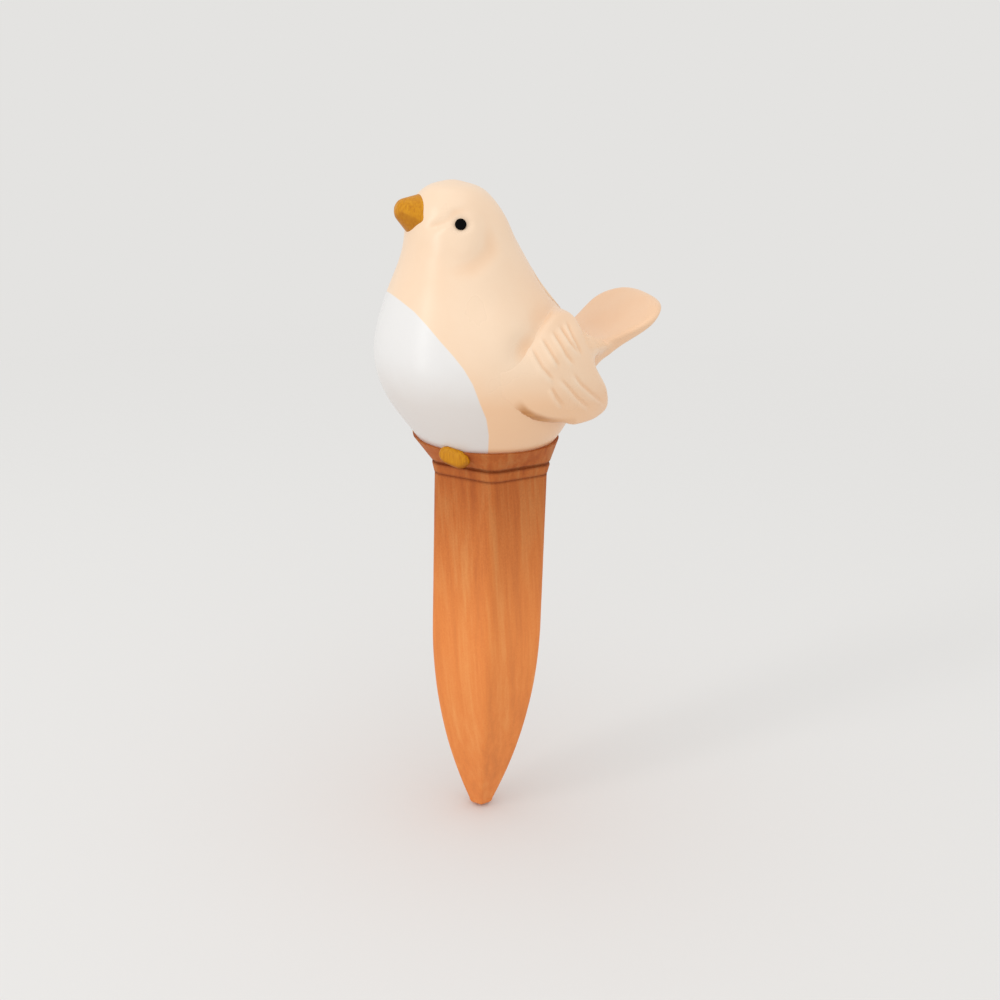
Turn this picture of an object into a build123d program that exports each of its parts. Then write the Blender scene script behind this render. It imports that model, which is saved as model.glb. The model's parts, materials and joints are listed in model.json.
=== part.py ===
from build123d import *

import math
import os

# Self watering spike: a porous terracotta spike with a hollow clay bird bonded into its cup.
# Millimetres and degrees. The origin is on the spike's axis, at the underside of its collar.
# +Z is up, the bird looks along -X and its left side is -Y.

# Spike shank and tip
SPIKE_WALL = 4.0
SHANK_HALF_FLATS = 14.9
SHANK_CORNER_RADIUS = 3.0
SHANK_TURN = 13.0
STRAIGHT_LENGTH = 43.0
TAPER_LENGTH = 67.0
TIP_HALF_FLATS = 3.4
TIP_ROUND = 2.6
TIP_ANGLES = (0, 30, 60, 80)
CAVITY_END_HALF_FLATS = 1.6

# Collar band, groove and cup
COLLAR_STEP = 0.2
COLLAR_FLARE = 0.5
COLLAR_HEIGHT = 2.8
COLLAR_CORNER_RADIUS = 4.0
GROOVE_DEPTH = 0.6
GROOVE_HEIGHT = 0.5
CUP_HEIGHT = 8.6
CUP_RIM_RADIUS = 19.5
CUP_RIM_FLAT = 0.6
CUP_CENTRE = -1.4
CUP_LIP = 0.6

# Bird form, one row for each landmark from the seat up to the crown:
# height, breast side, back side and half width
SEAT = (2.5, -14.8, 12.2, 13.5)
BELLY = (14.0, -24.2, 20.6, 21.8)
BREAST = (20.0, -28.3, 22.9, 24.4)
FLANK = (30.0, -31.5, 23.7, 26.0)
SHOULDER = (40.0, -30.4, 19.4, 23.5)
NECK = (50.0, -27.1, 11.3, 18.2)
CHEEK = (59.0, -24.2, 5.6, 14.4)

# Round crown of the head, above the cheeks
HEAD_CENTRE = (-10.9, 63.3)
HEAD_HALF_LENGTH = 12.7
HEAD_HALF_WIDTH = 12.3
HEAD_HALF_HEIGHT = 12.0
HEAD_LEAN = 1.0
HEAD_ANGLES = (15, 40, 63, 83)
CAVITY_HEAD_ANGLES = (20, 60)
BIRD_WALL = 4.0

# Spigot under the bird, bonded into the mouth of the spike
SPIGOT_RADIUS = 10.0
SPIGOT_BORE_RADIUS = 6.5
SPIGOT_LENGTH = 8.0
BOND_THICKNESS = 1.0
BOND_CLEARANCE = 0.05
SEAT_CLEARANCE = 0.25
MOUTH_DEPTH = 10.0

# Fill hole in the back, closed by a flush stopper
FILL_HEIGHT = 48.0
FILL_TILT = 39.0
FILL_BORE_RADIUS = 6.9
FLANGE_RADIUS = 7.8
FLANGE_THICKNESS = 2.6
FLANGE_CLEARANCE = 0.3
FLANGE_SEAT_CLEARANCE = 0.1
PLUG_LENGTH = 5.0
PLUG_LEAD = 0.8
PLUG_CLEARANCE = 0.08
NAIL_NOTCH_RADIUS = 2.6

# Wings: a leaf outline seen from the side, on an envelope set back and grown from the bird
WING_SETBACK = 6.0
WING_GROWTH_LENGTH = 3.0
WING_GROWTH_WIDTH = 1.0
WING_THICKNESS = 6.0
WING_FRONT = (-7.0, 31.0)
WING_CREASE = (0.5, 35.0)
WING_SHOULDER = (4.5, 40.0)
WING_TOP = (13.5, 44.3)
WING_TRAIL = (21.0, 29.5)
WING_TIP = (26.8, 19.0)
WING_HEEL = (14.5, 17.5)
WING_ELBOW = (-1.5, 22.0)

# Tail paddle, on a plane that rises backwards from its root
TAIL_ROOT = (18.5, 29.3)
TAIL_RISE = 32.5
TAIL_LENGTH = 30.0
TAIL_ROOT_HALF_WIDTH = 15.6
TAIL_WAIST = (13.0, 13.0)
TAIL_SPREAD = (22.5, 15.6)
TAIL_CORNER = (27.2, 12.2)
TAIL_THICKNESS = 4.2
TAIL_ROOT_DROP = 3.4
TAIL_EDGE_ROUND = 1.8

# Beak
BEAK_BASE = (-17.2, 65.6)
BEAK_RISE = 17.0
BEAK_LENGTH = 9.9
BEAK_BASE_HALF_HEIGHT = 7.3
BEAK_BASE_HALF_WIDTH = 7.8
BEAK_TIP_RADIUS = 1.8
BEAK_TIP_ROUND = 1.2

# Eyes
EYE_RADIUS = 1.4
EYE_PROUD = 0.5
EYE_ROUND = 0.4
EYE_DEPTH = 1.2
EYE_CLEARANCE = 0.05
EYE_X = -13.5
EYE_HEIGHT = 65.5

# Feet, pressed on the cup under the breast
FOOT_ANGLE = 45.5
FOOT_HEIGHT = 7.0
FOOT_LENGTH = 8.0
FOOT_WIDTH = 4.8
FOOT_PROUD = 2.0
FOOT_ROUND = 1.2
FOOT_SLANT = 14.0

# Thin seam of slip under every piece that is pressed on
SLIP_CLEARANCE = 0.05

HEX_SIDES = 6
TAPER_STEPS = 5
LEFT = -1
RIGHT = 1
ON_BASE = (Align.CENTER, Align.CENTER, Align.MIN)


def rounded_hexagon(half_flats, corner_radius, height, centre=0.0):
    """A hexagon with round corners, turned by SHANK_TURN from the bird's long axis."""
    outline = RegularPolygon(half_flats, HEX_SIDES, major_radius=False, rotation=SHANK_TURN)
    return Pos(centre, 0, height) * fillet(outline.vertices(), corner_radius)


def corner_for(half_flats):
    """The corner radius of a shank section, which shrinks with the section."""
    return SHANK_CORNER_RADIUS * half_flats / SHANK_HALF_FLATS


def tapered_hexagons(end_half_flats, inset):
    """Sections down the taper, whose flats draw in along a parabola, inset by a wall."""
    last_share = math.sqrt(1 - (end_half_flats + inset) / SHANK_HALF_FLATS)
    sections = []
    for step in range(TAPER_STEPS + 1):
        share = last_share * step / TAPER_STEPS
        half_flats = SHANK_HALF_FLATS * (1 - share ** 2) - inset
        height = -STRAIGHT_LENGTH - TAPER_LENGTH * share
        sections.append(rounded_hexagon(half_flats, corner_for(half_flats), height))
    return sections


def round_tip():
    """The blunt dome that closes the taper."""
    share = math.sqrt(1 - TIP_HALF_FLATS / SHANK_HALF_FLATS)
    base = -STRAIGHT_LENGTH - TAPER_LENGTH * share
    sections = []
    for angle in TIP_ANGLES:
        half_flats = TIP_HALF_FLATS * math.cos(math.radians(angle))
        height = base - TIP_ROUND * math.sin(math.radians(angle))
        sections.append(rounded_hexagon(half_flats, corner_for(half_flats), height))
    return loft(sections)


def shank(end_half_flats, inset, top):
    """The straight shank and its taper as one solid, inset by a wall, up to a top height."""
    half_flats = SHANK_HALF_FLATS - inset
    base = rounded_hexagon(half_flats, corner_for(half_flats), -STRAIGHT_LENGTH)
    return extrude(base, STRAIGHT_LENGTH + top) + loft(tapered_hexagons(end_half_flats, inset))


def collar_and_cup():
    """The flared collar band, the groove above it and the round cup, not yet hollow."""
    low = SHANK_HALF_FLATS + COLLAR_STEP
    high = low + COLLAR_FLARE
    cup_start = COLLAR_HEIGHT + GROOVE_HEIGHT
    band = loft([
        rounded_hexagon(low, COLLAR_CORNER_RADIUS, 0),
        rounded_hexagon(high, COLLAR_CORNER_RADIUS, COLLAR_HEIGHT),
    ])
    groove_floor = rounded_hexagon(high - GROOVE_DEPTH, COLLAR_CORNER_RADIUS, COLLAR_HEIGHT)
    cup = loft([
        rounded_hexagon(high, COLLAR_CORNER_RADIUS, cup_start),
        rounded_hexagon(CUP_RIM_RADIUS, CUP_RIM_RADIUS - CUP_RIM_FLAT, CUP_HEIGHT, CUP_CENTRE),
    ])
    return band + extrude(groove_floor, GROOVE_HEIGHT) + cup


def cup_liner():
    """A skin around the bird's seat, so that the cup has a wall wherever the bird bulges in it."""
    skin = bird_form(SEAT_CLEARANCE + CUP_LIP / 2)
    return skin & upright_drum(2 * CUP_RIM_RADIUS, SEAT[0], CUP_HEIGHT)


def rim_row():
    """The bird's form at the cup's rim, as wide as the lip leaves room for."""
    radius = CUP_RIM_RADIUS - CUP_LIP - SEAT_CLEARANCE
    return (CUP_HEIGHT, CUP_CENTRE - radius, CUP_CENTRE + radius, radius)


def head_row(angle, wall=0.0):
    """A row of the round crown, at an angle up from the middle of the head."""
    keep = math.cos(math.radians(angle))
    centre, middle = HEAD_CENTRE
    height = middle + (HEAD_HALF_HEIGHT - wall) * math.sin(math.radians(angle))
    centre -= HEAD_LEAN * math.sin(math.radians(angle))
    half_length = HEAD_HALF_LENGTH * keep
    return (height, centre - half_length, centre + half_length, HEAD_HALF_WIDTH * keep)


def form_section(row, grow_length=0.0, grow_width=0.0, shift=0.0):
    """One ellipse of the bird's form, grown along and across the bird and shifted back."""
    height, breast, back, half_width = row
    half_length = (back - breast) / 2 + grow_length
    centre = (back + breast) / 2 + shift
    return Pos(centre, 0, height) * Ellipse(half_length, half_width + grow_width)


def bird_form(clearance=0.0):
    """The bird's outer form as one closed solid, with an even clearance around it."""
    rows = [SEAT, rim_row(), BELLY, BREAST, FLANK, SHOULDER, NECK, CHEEK]
    rows += [head_row(angle) for angle in HEAD_ANGLES]
    return loft([form_section(row, clearance, clearance) for row in rows])


def bird_cavity():
    """The hollow inside the bird, one wall inside its form."""
    floor_row = (SEAT[0] + BIRD_WALL,) + rim_row()[1:]
    rows = [floor_row, BELLY, BREAST, FLANK, SHOULDER, NECK, CHEEK]
    rows += [head_row(angle, BIRD_WALL) for angle in CAVITY_HEAD_ANGLES]
    return loft([form_section(row, -BIRD_WALL, -BIRD_WALL) for row in rows])


def surface_point(solid, x, height, direction):
    """Where a ray from inside a solid leaves it, and the outward normal there."""
    ray = Axis((x, 0, height), direction)
    hits = solid.find_intersection_points(ray)
    ahead = [hit for hit in hits if (hit[0] - ray.position).dot(ray.direction) > 0]
    return ahead[-1]


def fill_plane(form):
    """A plane square to the fill hole, on the bird's back, looking outwards."""
    tilt = math.radians(FILL_TILT)
    origin, _ = surface_point(form, 0, FILL_HEIGHT, (1, 0, 0))
    return Plane(origin, x_dir=(0, 1, 0), z_dir=(math.cos(tilt), 0, math.sin(tilt)))


def drum(plane, radius, low, high):
    """A cylinder square to a plane, between two distances from it."""
    return plane * Pos(0, 0, low) * Cylinder(radius, high - low, align=ON_BASE)


def upright_drum(radius, low, high):
    """A cylinder on the spike's axis, between two heights."""
    return drum(Plane.XY, radius, low, high)


def spike_shell(form_clearance):
    """The porous spike: shank, tip, collar and cup, hollow from the mouth to near the tip."""
    outside = shank(TIP_HALF_FLATS, 0, 0) + round_tip() + collar_and_cup() + cup_liner()
    mouth = upright_drum(SPIGOT_RADIUS + BOND_THICKNESS, -MOUTH_DEPTH, CUP_HEIGHT)
    cavity = shank(CAVITY_END_HALF_FLATS, SPIKE_WALL, -MOUTH_DEPTH)
    return outside - cavity - mouth - form_clearance


def bird_shell(form):
    """The hollow bird with its spigot, its stopper seat and its eye sockets."""
    plane = fill_plane(form)
    seat_depth = FLANGE_THICKNESS + FLANGE_SEAT_CLEARANCE
    seat_radius = FLANGE_RADIUS + FLANGE_CLEARANCE
    boss = drum(plane, seat_radius + BIRD_WALL, -seat_depth - BIRD_WALL, BIRD_WALL) & form
    spigot = upright_drum(SPIGOT_RADIUS, -SPIGOT_LENGTH, SEAT[0] + BIRD_WALL / 2)
    shell = form - bird_cavity() + boss + spigot
    shell -= upright_drum(SPIGOT_BORE_RADIUS, -SPIGOT_LENGTH, SEAT[0] + 2 * BIRD_WALL)
    shell -= drum(plane, FILL_BORE_RADIUS, -seat_depth - 2 * BIRD_WALL, BIRD_WALL)
    shell -= drum(plane, seat_radius, -seat_depth, BIRD_WALL)
    shell -= plane * Pos(0, -seat_radius, 0) * Sphere(NAIL_NOTCH_RADIUS)
    for side in (LEFT, RIGHT):
        socket_radius = EYE_RADIUS + EYE_CLEARANCE
        shell -= drum(eye_plane(form, side), socket_radius, -EYE_DEPTH - EYE_CLEARANCE, EYE_RADIUS)
    return shell


def fill_stopper(form):
    """The stopper: a plug with a lead-in and a flange that follows the bird's back."""
    plane = fill_plane(form)
    flange = drum(plane, FLANGE_RADIUS, -FLANGE_THICKNESS, BIRD_WALL) & form
    plug = Cylinder(FILL_BORE_RADIUS - PLUG_CLEARANCE, PLUG_LENGTH, align=ON_BASE)
    plug = chamfer(plug.edges().group_by(Axis.Z)[0], PLUG_LEAD)
    return flange + plane * Pos(0, 0, -FLANGE_THICKNESS - PLUG_LENGTH) * plug


def bond_ring():
    """The cement that fills the mouth of the spike around the bird's spigot."""
    inner = SPIGOT_RADIUS + BOND_CLEARANCE
    outer = SPIGOT_RADIUS + BOND_THICKNESS - BOND_CLEARANCE
    top = SEAT[0] - BOND_CLEARANCE
    return upright_drum(outer, -SPIGOT_LENGTH, top) - upright_drum(inner, -SPIGOT_LENGTH, top)


def wing_envelope(inset):
    """The surface that the wings lie on: the bird's form grown and set back, less an inset."""
    rows = [rim_row(), BELLY, BREAST, FLANK, SHOULDER, NECK]
    grow_length = WING_GROWTH_LENGTH - inset
    grow_width = WING_GROWTH_WIDTH - inset
    return loft([form_section(row, grow_length, grow_width, WING_SETBACK) for row in rows])


def wing(side, form_clearance):
    """One wing: a leaf cut from the envelope, hollowed behind, fitted on the bird and its tail."""
    points = [WING_FRONT, WING_CREASE, WING_SHOULDER, WING_TOP]
    points += [WING_TRAIL, WING_TIP, WING_HEEL, WING_ELBOW]
    outline = Spline(*[(x, 0, z) for x, z in points], periodic=True)
    reach = FLANK[3] + WING_THICKNESS
    leaf = extrude(make_face(outline), reach, dir=(0, side, 0))
    blank = (wing_envelope(0) & leaf) - wing_envelope(WING_THICKNESS)
    fitted = blank - form_clearance - tail_paddle(SLIP_CLEARANCE)
    return fitted.solids().sort_by(SortBy.VOLUME)[-1]


def tail_paddle(clearance=0.0):
    """The tail's full paddle: thick at its root, narrow at its waist, spread and round at its end."""
    rise = math.radians(TAIL_RISE)
    plane = Plane(
        (TAIL_ROOT[0], 0, TAIL_ROOT[1]),
        x_dir=(math.cos(rise), 0, math.sin(rise)),
        z_dir=(-math.sin(rise), 0, math.cos(rise)),
    )
    stations = [(0, TAIL_ROOT_HALF_WIDTH), TAIL_WAIST, TAIL_SPREAD, TAIL_CORNER]
    half_outline = [(along, across + clearance) for along, across in stations]
    other_half = [(along, -across) for along, across in reversed(half_outline)]
    edge = Spline(*half_outline, (TAIL_LENGTH + clearance, 0), *other_half)
    root = Line(other_half[-1], half_outline[0])
    top = TAIL_THICKNESS / 2 + clearance
    end = TAIL_LENGTH + clearance
    root_base = -top - TAIL_ROOT_DROP
    side_view = Polyline((0, 0, top), (end, 0, top), (end, 0, -top), (0, 0, root_base), close=True)
    slab = extrude(make_face(side_view), TAIL_SPREAD[1] + TAIL_THICKNESS, dir=(0, 1, 0), both=True)
    paddle = slab & extrude(make_face([edge, root]), TAIL_THICKNESS + TAIL_ROOT_DROP, both=True)
    flats = paddle.faces().sort_by(Axis.Z)
    return plane * fillet(flats[0].edges() + flats[-1].edges(), TAIL_EDGE_ROUND)


def tail(form_clearance):
    """The tail: as much of its paddle as stands out of the bird."""
    return (tail_paddle() - form_clearance).solids().sort_by(SortBy.VOLUME)[-1]


def beak(form_clearance):
    """The beak: a short blunt cone that points a little up."""
    rise = math.radians(BEAK_RISE)
    plane = Plane(
        (BEAK_BASE[0], 0, BEAK_BASE[1]),
        x_dir=(0, 1, 0),
        z_dir=(-math.cos(rise), 0, math.sin(rise)),
    )
    base = Ellipse(BEAK_BASE_HALF_WIDTH, BEAK_BASE_HALF_HEIGHT)
    cone = loft([base, Pos(0, 0, BEAK_LENGTH) * Ellipse(BEAK_TIP_RADIUS, BEAK_TIP_RADIUS)])
    tip_edges = cone.edges().group_by(Axis.Z)[-1]
    cone = plane * fillet(tip_edges, BEAK_TIP_ROUND)
    return (cone - form_clearance).solids().sort_by(SortBy.VOLUME)[-1]


def eye_plane(form, side):
    """A plane on the bird's cheek, square to its surface at the eye."""
    point, normal = surface_point(form, EYE_X, EYE_HEIGHT, (0, side, 0))
    return Plane(point, z_dir=normal)


def eye(side, form):
    """One eye bead, domed at its rim and sunk in its socket."""
    bead = Pos(0, 0, -EYE_DEPTH) * Cylinder(EYE_RADIUS, EYE_DEPTH + EYE_PROUD, align=ON_BASE)
    return eye_plane(form, side) * fillet(bead.edges().group_by(Axis.Z)[-1], EYE_ROUND)


def foot(side, form_clearance):
    """One foot: a bean pressed on the cup's face under the breast."""
    angle = math.radians(FOOT_ANGLE)
    outward = Vector(-math.cos(angle), side * math.sin(angle), 0)
    cup = collar_and_cup() + cup_liner()
    face_point, _ = surface_point(cup, CUP_CENTRE, FOOT_HEIGHT, outward)
    plane = Plane(face_point, x_dir=outward.cross(Vector(0, 0, 1)), z_dir=outward)
    sole = Rot(0, 0, side * FOOT_SLANT) * SlotOverall(FOOT_LENGTH, FOOT_WIDTH)
    bean = Pos(0, 0, -FOOT_WIDTH) * extrude(sole, FOOT_WIDTH + FOOT_PROUD)
    bean = plane * fillet(bean.edges().group_by(Axis.Z)[-1], FOOT_ROUND)
    pad = bean - cup - form_clearance
    return pad.solids().sort_by(SortBy.VOLUME)[-1]


def main():
    """Builds every piece and writes one file for each."""
    form = bird_form()
    slip_form = bird_form(SLIP_CLEARANCE)
    pieces = {
        "spike_shell": spike_shell(bird_form(SEAT_CLEARANCE)),
        "bird_shell": bird_shell(form),
        "bond_ring": bond_ring(),
        "left_wing": wing(LEFT, slip_form),
        "right_wing": wing(RIGHT, slip_form),
        "tail": tail(slip_form),
        "beak": beak(slip_form),
        "left_eye": eye(LEFT, form),
        "right_eye": eye(RIGHT, form),
        "left_foot": foot(LEFT, slip_form),
        "right_foot": foot(RIGHT, slip_form),
        "fill_stopper": fill_stopper(form),
    }
    os.makedirs("parts", exist_ok=True)
    for name, piece in pieces.items():
        export_step(piece, os.path.join("parts", name + ".step"))


main()
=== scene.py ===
"""A self watering spike: a hollow terracotta spike that carries a painted clay bird.

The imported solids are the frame. The bird, wings, tail and feet are copied from it, softened, modelled and
painted. The spike and the beak are made again by their own rules. Lengths are in millimetres unless a name
says metres.
"""

import json
import logging
import math
from dataclasses import dataclass, field
from enum import Enum
from typing import Any

import bmesh
import bpy
import numpy as np
from mathutils import Matrix, Vector
from mathutils.bvhtree import BVHTree

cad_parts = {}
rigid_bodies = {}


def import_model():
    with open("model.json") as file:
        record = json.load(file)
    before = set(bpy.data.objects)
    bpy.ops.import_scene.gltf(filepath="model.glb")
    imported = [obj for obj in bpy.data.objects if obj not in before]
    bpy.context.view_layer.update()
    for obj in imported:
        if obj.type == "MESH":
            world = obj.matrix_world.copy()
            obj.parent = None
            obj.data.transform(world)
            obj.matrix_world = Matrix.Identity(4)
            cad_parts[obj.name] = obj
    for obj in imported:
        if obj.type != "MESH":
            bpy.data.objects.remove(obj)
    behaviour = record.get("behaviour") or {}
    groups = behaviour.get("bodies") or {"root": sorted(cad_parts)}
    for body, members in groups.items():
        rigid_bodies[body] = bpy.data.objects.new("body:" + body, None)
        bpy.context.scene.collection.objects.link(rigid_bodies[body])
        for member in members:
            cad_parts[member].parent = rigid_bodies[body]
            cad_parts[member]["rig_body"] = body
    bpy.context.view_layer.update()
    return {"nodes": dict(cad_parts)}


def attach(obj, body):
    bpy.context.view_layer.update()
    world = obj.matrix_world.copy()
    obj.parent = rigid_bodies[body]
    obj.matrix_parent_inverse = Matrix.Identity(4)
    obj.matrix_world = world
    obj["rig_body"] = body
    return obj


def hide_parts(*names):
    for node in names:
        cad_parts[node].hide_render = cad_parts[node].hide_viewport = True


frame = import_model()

MM = 0.001
LOG = logging.getLogger("watering_spike")
Array = np.ndarray
Socket = bpy.types.NodeSocket
Point = tuple[float, float, float]
Line = tuple[tuple[float, ...], ...]
# Two values between which something fades in or out
Fade = tuple[float, float]
EYE_PLACE: Point = (-13.0, -11.0, 65.4)
FILL_PLACE: Point = (12.9, 0.0, 48.0)
# How far from a luted piece its joint fades out
LUTED_EDGE: Fade = (0.3, 1.5)
# A distance from the bib's edge that is well outside it
NO_BIB = -9.0
# Vertices closer than this are one
LOOSE_GAP = 0.001


class Side(Enum):
    """The two sides of the bird, by the sign of their y."""

    LEFT = -1
    RIGHT = 1

    @property
    def word(self) -> str:
        """The side's name as the nodes spell it."""
        return self.name.lower()


def linear(hex_colour: str) -> tuple[float, float, float, float]:
    """Turns an sRGB hex colour into linear RGBA.

    Args:
        hex_colour: Six hex digits after a hash sign.

    Returns:
        The linear colour with an alpha of 1.
    """
    shares = [int(hex_colour[i:i + 2], 16) / 255 for i in (1, 3, 5)]
    red, green, blue = [s / 12.92 if s <= 0.04045 else ((s + 0.055) / 1.055) ** 2.4 for s in shares]
    return red, green, blue, 1.0


def per_metre(size: float) -> float:
    """The texture scale at which one cell is a size in millimetres, on coordinates in metres."""
    return 1 / (size * MM)


def new_object(name: str, data: bpy.types.ID) -> bpy.types.Object:
    """Puts a new object in the scene.

    Args:
        name: The object's name.
        data: Its mesh, light or camera.

    Returns:
        The object.
    """
    piece = bpy.data.objects.new(name, data)
    bpy.context.scene.collection.objects.link(piece)
    return piece


def feed(tree: bpy.types.NodeTree, node: bpy.types.Node, inputs: dict[Any, Any]) -> None:
    """Sets or links a node's inputs.

    Args:
        tree: The tree that holds the node.
        node: The node.
        inputs: Values or output sockets, by input name or number.
    """
    for key, value in inputs.items():
        if isinstance(value, Socket):
            tree.links.new(value, node.inputs[key])
        else:
            node.inputs[key].default_value = value


def add_node(tree: bpy.types.NodeTree, kind: str, inputs: dict[Any, Any] | None = None,
             **settings: Any) -> bpy.types.Node:
    """Adds a node with its settings, values and links.

    Args:
        tree: The tree that gets the node.
        kind: The node's type name.
        inputs: Values or output sockets, by input name or number.
        settings: Properties of the node itself.

    Returns:
        The new node.
    """
    node = tree.nodes.new(kind)
    for name, value in settings.items():
        setattr(node, name, value)
    feed(tree, node, inputs or {})
    return node


class Shading:
    """A material in the making: one principled shader and the nodes that feed it."""

    def __init__(self, name: str) -> None:
        """Makes the material.

        Args:
            name: The material's name.
        """
        self.material = bpy.data.materials.new(name)
        self.material.use_nodes = True
        self.tree = self.material.node_tree
        self.place = self.add("ShaderNodeTexCoord").outputs["Object"]

    def add(self, kind: str, inputs: dict[Any, Any] | None = None, **settings: Any) -> bpy.types.Node:
        """Adds a node to the material's tree, as add_node does."""
        return add_node(self.tree, kind, inputs, **settings)

    def noise(self, vector: Socket, scale: float, detail: float, roughness: float = 0.5,
              distortion: float = 0.0) -> Socket:
        """Cloudy noise from 0 to 1.

        Args:
            vector: Where it is looked up.
            scale: How many cells there are in one unit.
            detail: How many finer layers it has.
            roughness: How strong the finer layers are.
            distortion: How much it is warped.

        Returns:
            The noise.
        """
        return self.add("ShaderNodeTexNoise", {
            "Vector": vector, "Scale": scale, "Detail": detail, "Roughness": roughness,
            "Distortion": distortion}).outputs["Fac"]

    def attribute(self, name: str) -> Socket:
        """A number that the mesh stores for each vertex."""
        return self.add("ShaderNodeAttribute", attribute_name=name).outputs["Fac"]

    def share(self, value: Socket, low: float, high: float, to: tuple[float, float] = (0.0, 1.0),
              kind: str = "LINEAR") -> Socket:
        """Maps the values from low to high onto 0 to 1, or onto another range.

        Args:
            value: What is mapped.
            low: Where the range starts.
            high: Where it ends.
            to: The range that it is mapped onto.
            kind: The kind of step.

        Returns:
            The mapped value.
        """
        return self.add("ShaderNodeMapRange", {
            "Value": value, "From Min": low, "From Max": high, "To Min": to[0], "To Max": to[1]},
            interpolation_type=kind).outputs[0]

    def mix(self, first: Any, second: Any, factor: Any, blend: str = "MIX") -> Socket:
        """Blends two colours.

        Args:
            first: The colour at a factor of 0.
            second: The colour at a factor of 1.
            factor: A number or a socket.
            blend: The kind of blend.

        Returns:
            The blended colour.
        """
        return self.add("ShaderNodeMix", {6: first, 7: second, "Factor": factor},
                        data_type="RGBA", blend_type=blend).outputs[2]

    def bump(self, height: Socket, strength: float, depth: float, **below: Socket) -> Socket:
        """A relief of some depth in millimetres, over another one if that is given as Normal.

        Args:
            height: The socket that drives it.
            strength: Its strength.
            depth: Its depth.
            below: The relief that it lies on.

        Returns:
            The bent normal.
        """
        return self.add("ShaderNodeBump", {
            "Height": height, "Strength": strength, "Distance": depth * MM, **below}).outputs[0]

    def ramp(self, factor: Socket, stops: list[tuple[float, str]]) -> Socket:
        """Adds a colour ramp.

        Args:
            factor: What drives it.
            stops: Places from 0 to 1 with their hex colours.

        Returns:
            The colour that comes out.
        """
        node = self.add("ShaderNodeValToRGB", {"Fac": factor})
        elements = node.color_ramp.elements
        while len(elements) < len(stops):
            elements.new(0.5)
        for element, (place, colour) in zip(elements, stops):
            element.position = place
            element.color = linear(colour)
        return node.outputs["Color"]

    def finish(self, inputs: dict[str, Any]) -> bpy.types.Material:
        """Feeds the shader and hands over the material."""
        feed(self.tree, self.tree.nodes["Principled BSDF"], inputs)
        return self.material


@dataclass(frozen=True)
class Terracotta:
    """Unglazed red earthenware, slip cast and wiped smooth while wet.

    Porous and matt. The wiping leaves upright streaks that lean a little, lighter where fine clay was
    drawn up. The top is darker and browner, a painted shade under the bird, and the lower end is paler
    orange.
    Dark lines in the groove and along the collar's lower edge are dust and painted shade.
    """

    name: str = "unglazed_terracotta"
    dark: str = "#b15722"
    middle: str = "#d27431"
    light: str = "#df9856"
    # Painted shade under the bird: the colour the top of the spike darkens to
    top_shade_tint: str = "#8a4114"
    low_tint: str = "#fb9c54"
    streak_width: float = 1.7
    streak_length: float = 30.0
    lean_degrees: float = 6.0
    grain: float = 0.5
    top_shade_from: float = -52.0
    top_shade_to: float = 9.0
    # Dark lines in the groove and along the collar's lower edge: dust and painted shade
    dust_and_shade_from: float = -1.0
    dust_and_shade_to: float = 4.5
    dust_and_shade_lines: tuple[tuple[float, str], ...] = (
        (-0.7, "#ffffff"), (-0.1, "#b89c8c"), (0.1, "#b89c8c"), (0.7, "#ffffff"),
        (2.1, "#ffffff"), (2.85, "#a08474"), (3.2, "#a08474"), (4.0, "#ffffff"))

    def material(self) -> bpy.types.Material:
        """Builds the finish."""
        make = Shading(self.name)
        across, along = self.streak_width * MM, self.streak_length * MM
        streak_place = make.add("ShaderNodeMapping", {
            "Vector": make.place, "Rotation": (0, -math.radians(self.lean_degrees), 0),
            "Scale": (across, across, along)}, vector_type="TEXTURE").outputs[0]
        streaks = make.noise(streak_place, 1.0, 4.0, 0.62)
        bands = make.noise(streak_place, 0.32, 2.0, distortion=0.6)
        blend = make.add("ShaderNodeMix", {"Factor": 0.45, "A": streaks, "B": bands}).outputs[0]
        wiped = make.ramp(blend, [(0.32, self.dark), (0.5, self.middle), (0.68, self.light)])
        height = make.add("ShaderNodeSeparateXYZ", {"Vector": make.place}).outputs["Z"]
        # Darker and browner towards the top, a painted shade under the bird; paler towards the tip
        rise = make.share(height, self.top_shade_from * MM, self.top_shade_to * MM, kind="SMOOTHSTEP")
        tint = make.ramp(rise, [(0.0, self.low_tint), (1.0, self.top_shade_tint)])
        top_shaded = make.mix(wiped, tint, 0.5)
        # Darkens the groove and the collar's lower edge: dust and painted shade
        in_collar = make.share(height, self.dust_and_shade_from * MM, self.dust_and_shade_to * MM)
        span = self.dust_and_shade_to - self.dust_and_shade_from
        lines = make.ramp(in_collar, [((z - self.dust_and_shade_from) / span, colour) for z, colour in self.dust_and_shade_lines])
        dusty_and_shaded = make.mix(top_shaded, lines, 0.55, "MULTIPLY")
        grains = make.noise(make.place, per_metre(self.grain), 3.0)
        relief = make.bump(streaks, 0.35, 0.12)
        return make.finish({
            "Base Color": make.mix(dusty_and_shaded, grains, 0.16, "OVERLAY"),
            "Normal": make.bump(grains, 0.3, 0.06, Normal=relief),
            "Roughness": 0.72, "Sheen Weight": 0.06, "Sheen Roughness": 0.35, "IOR": 1.35})


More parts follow.
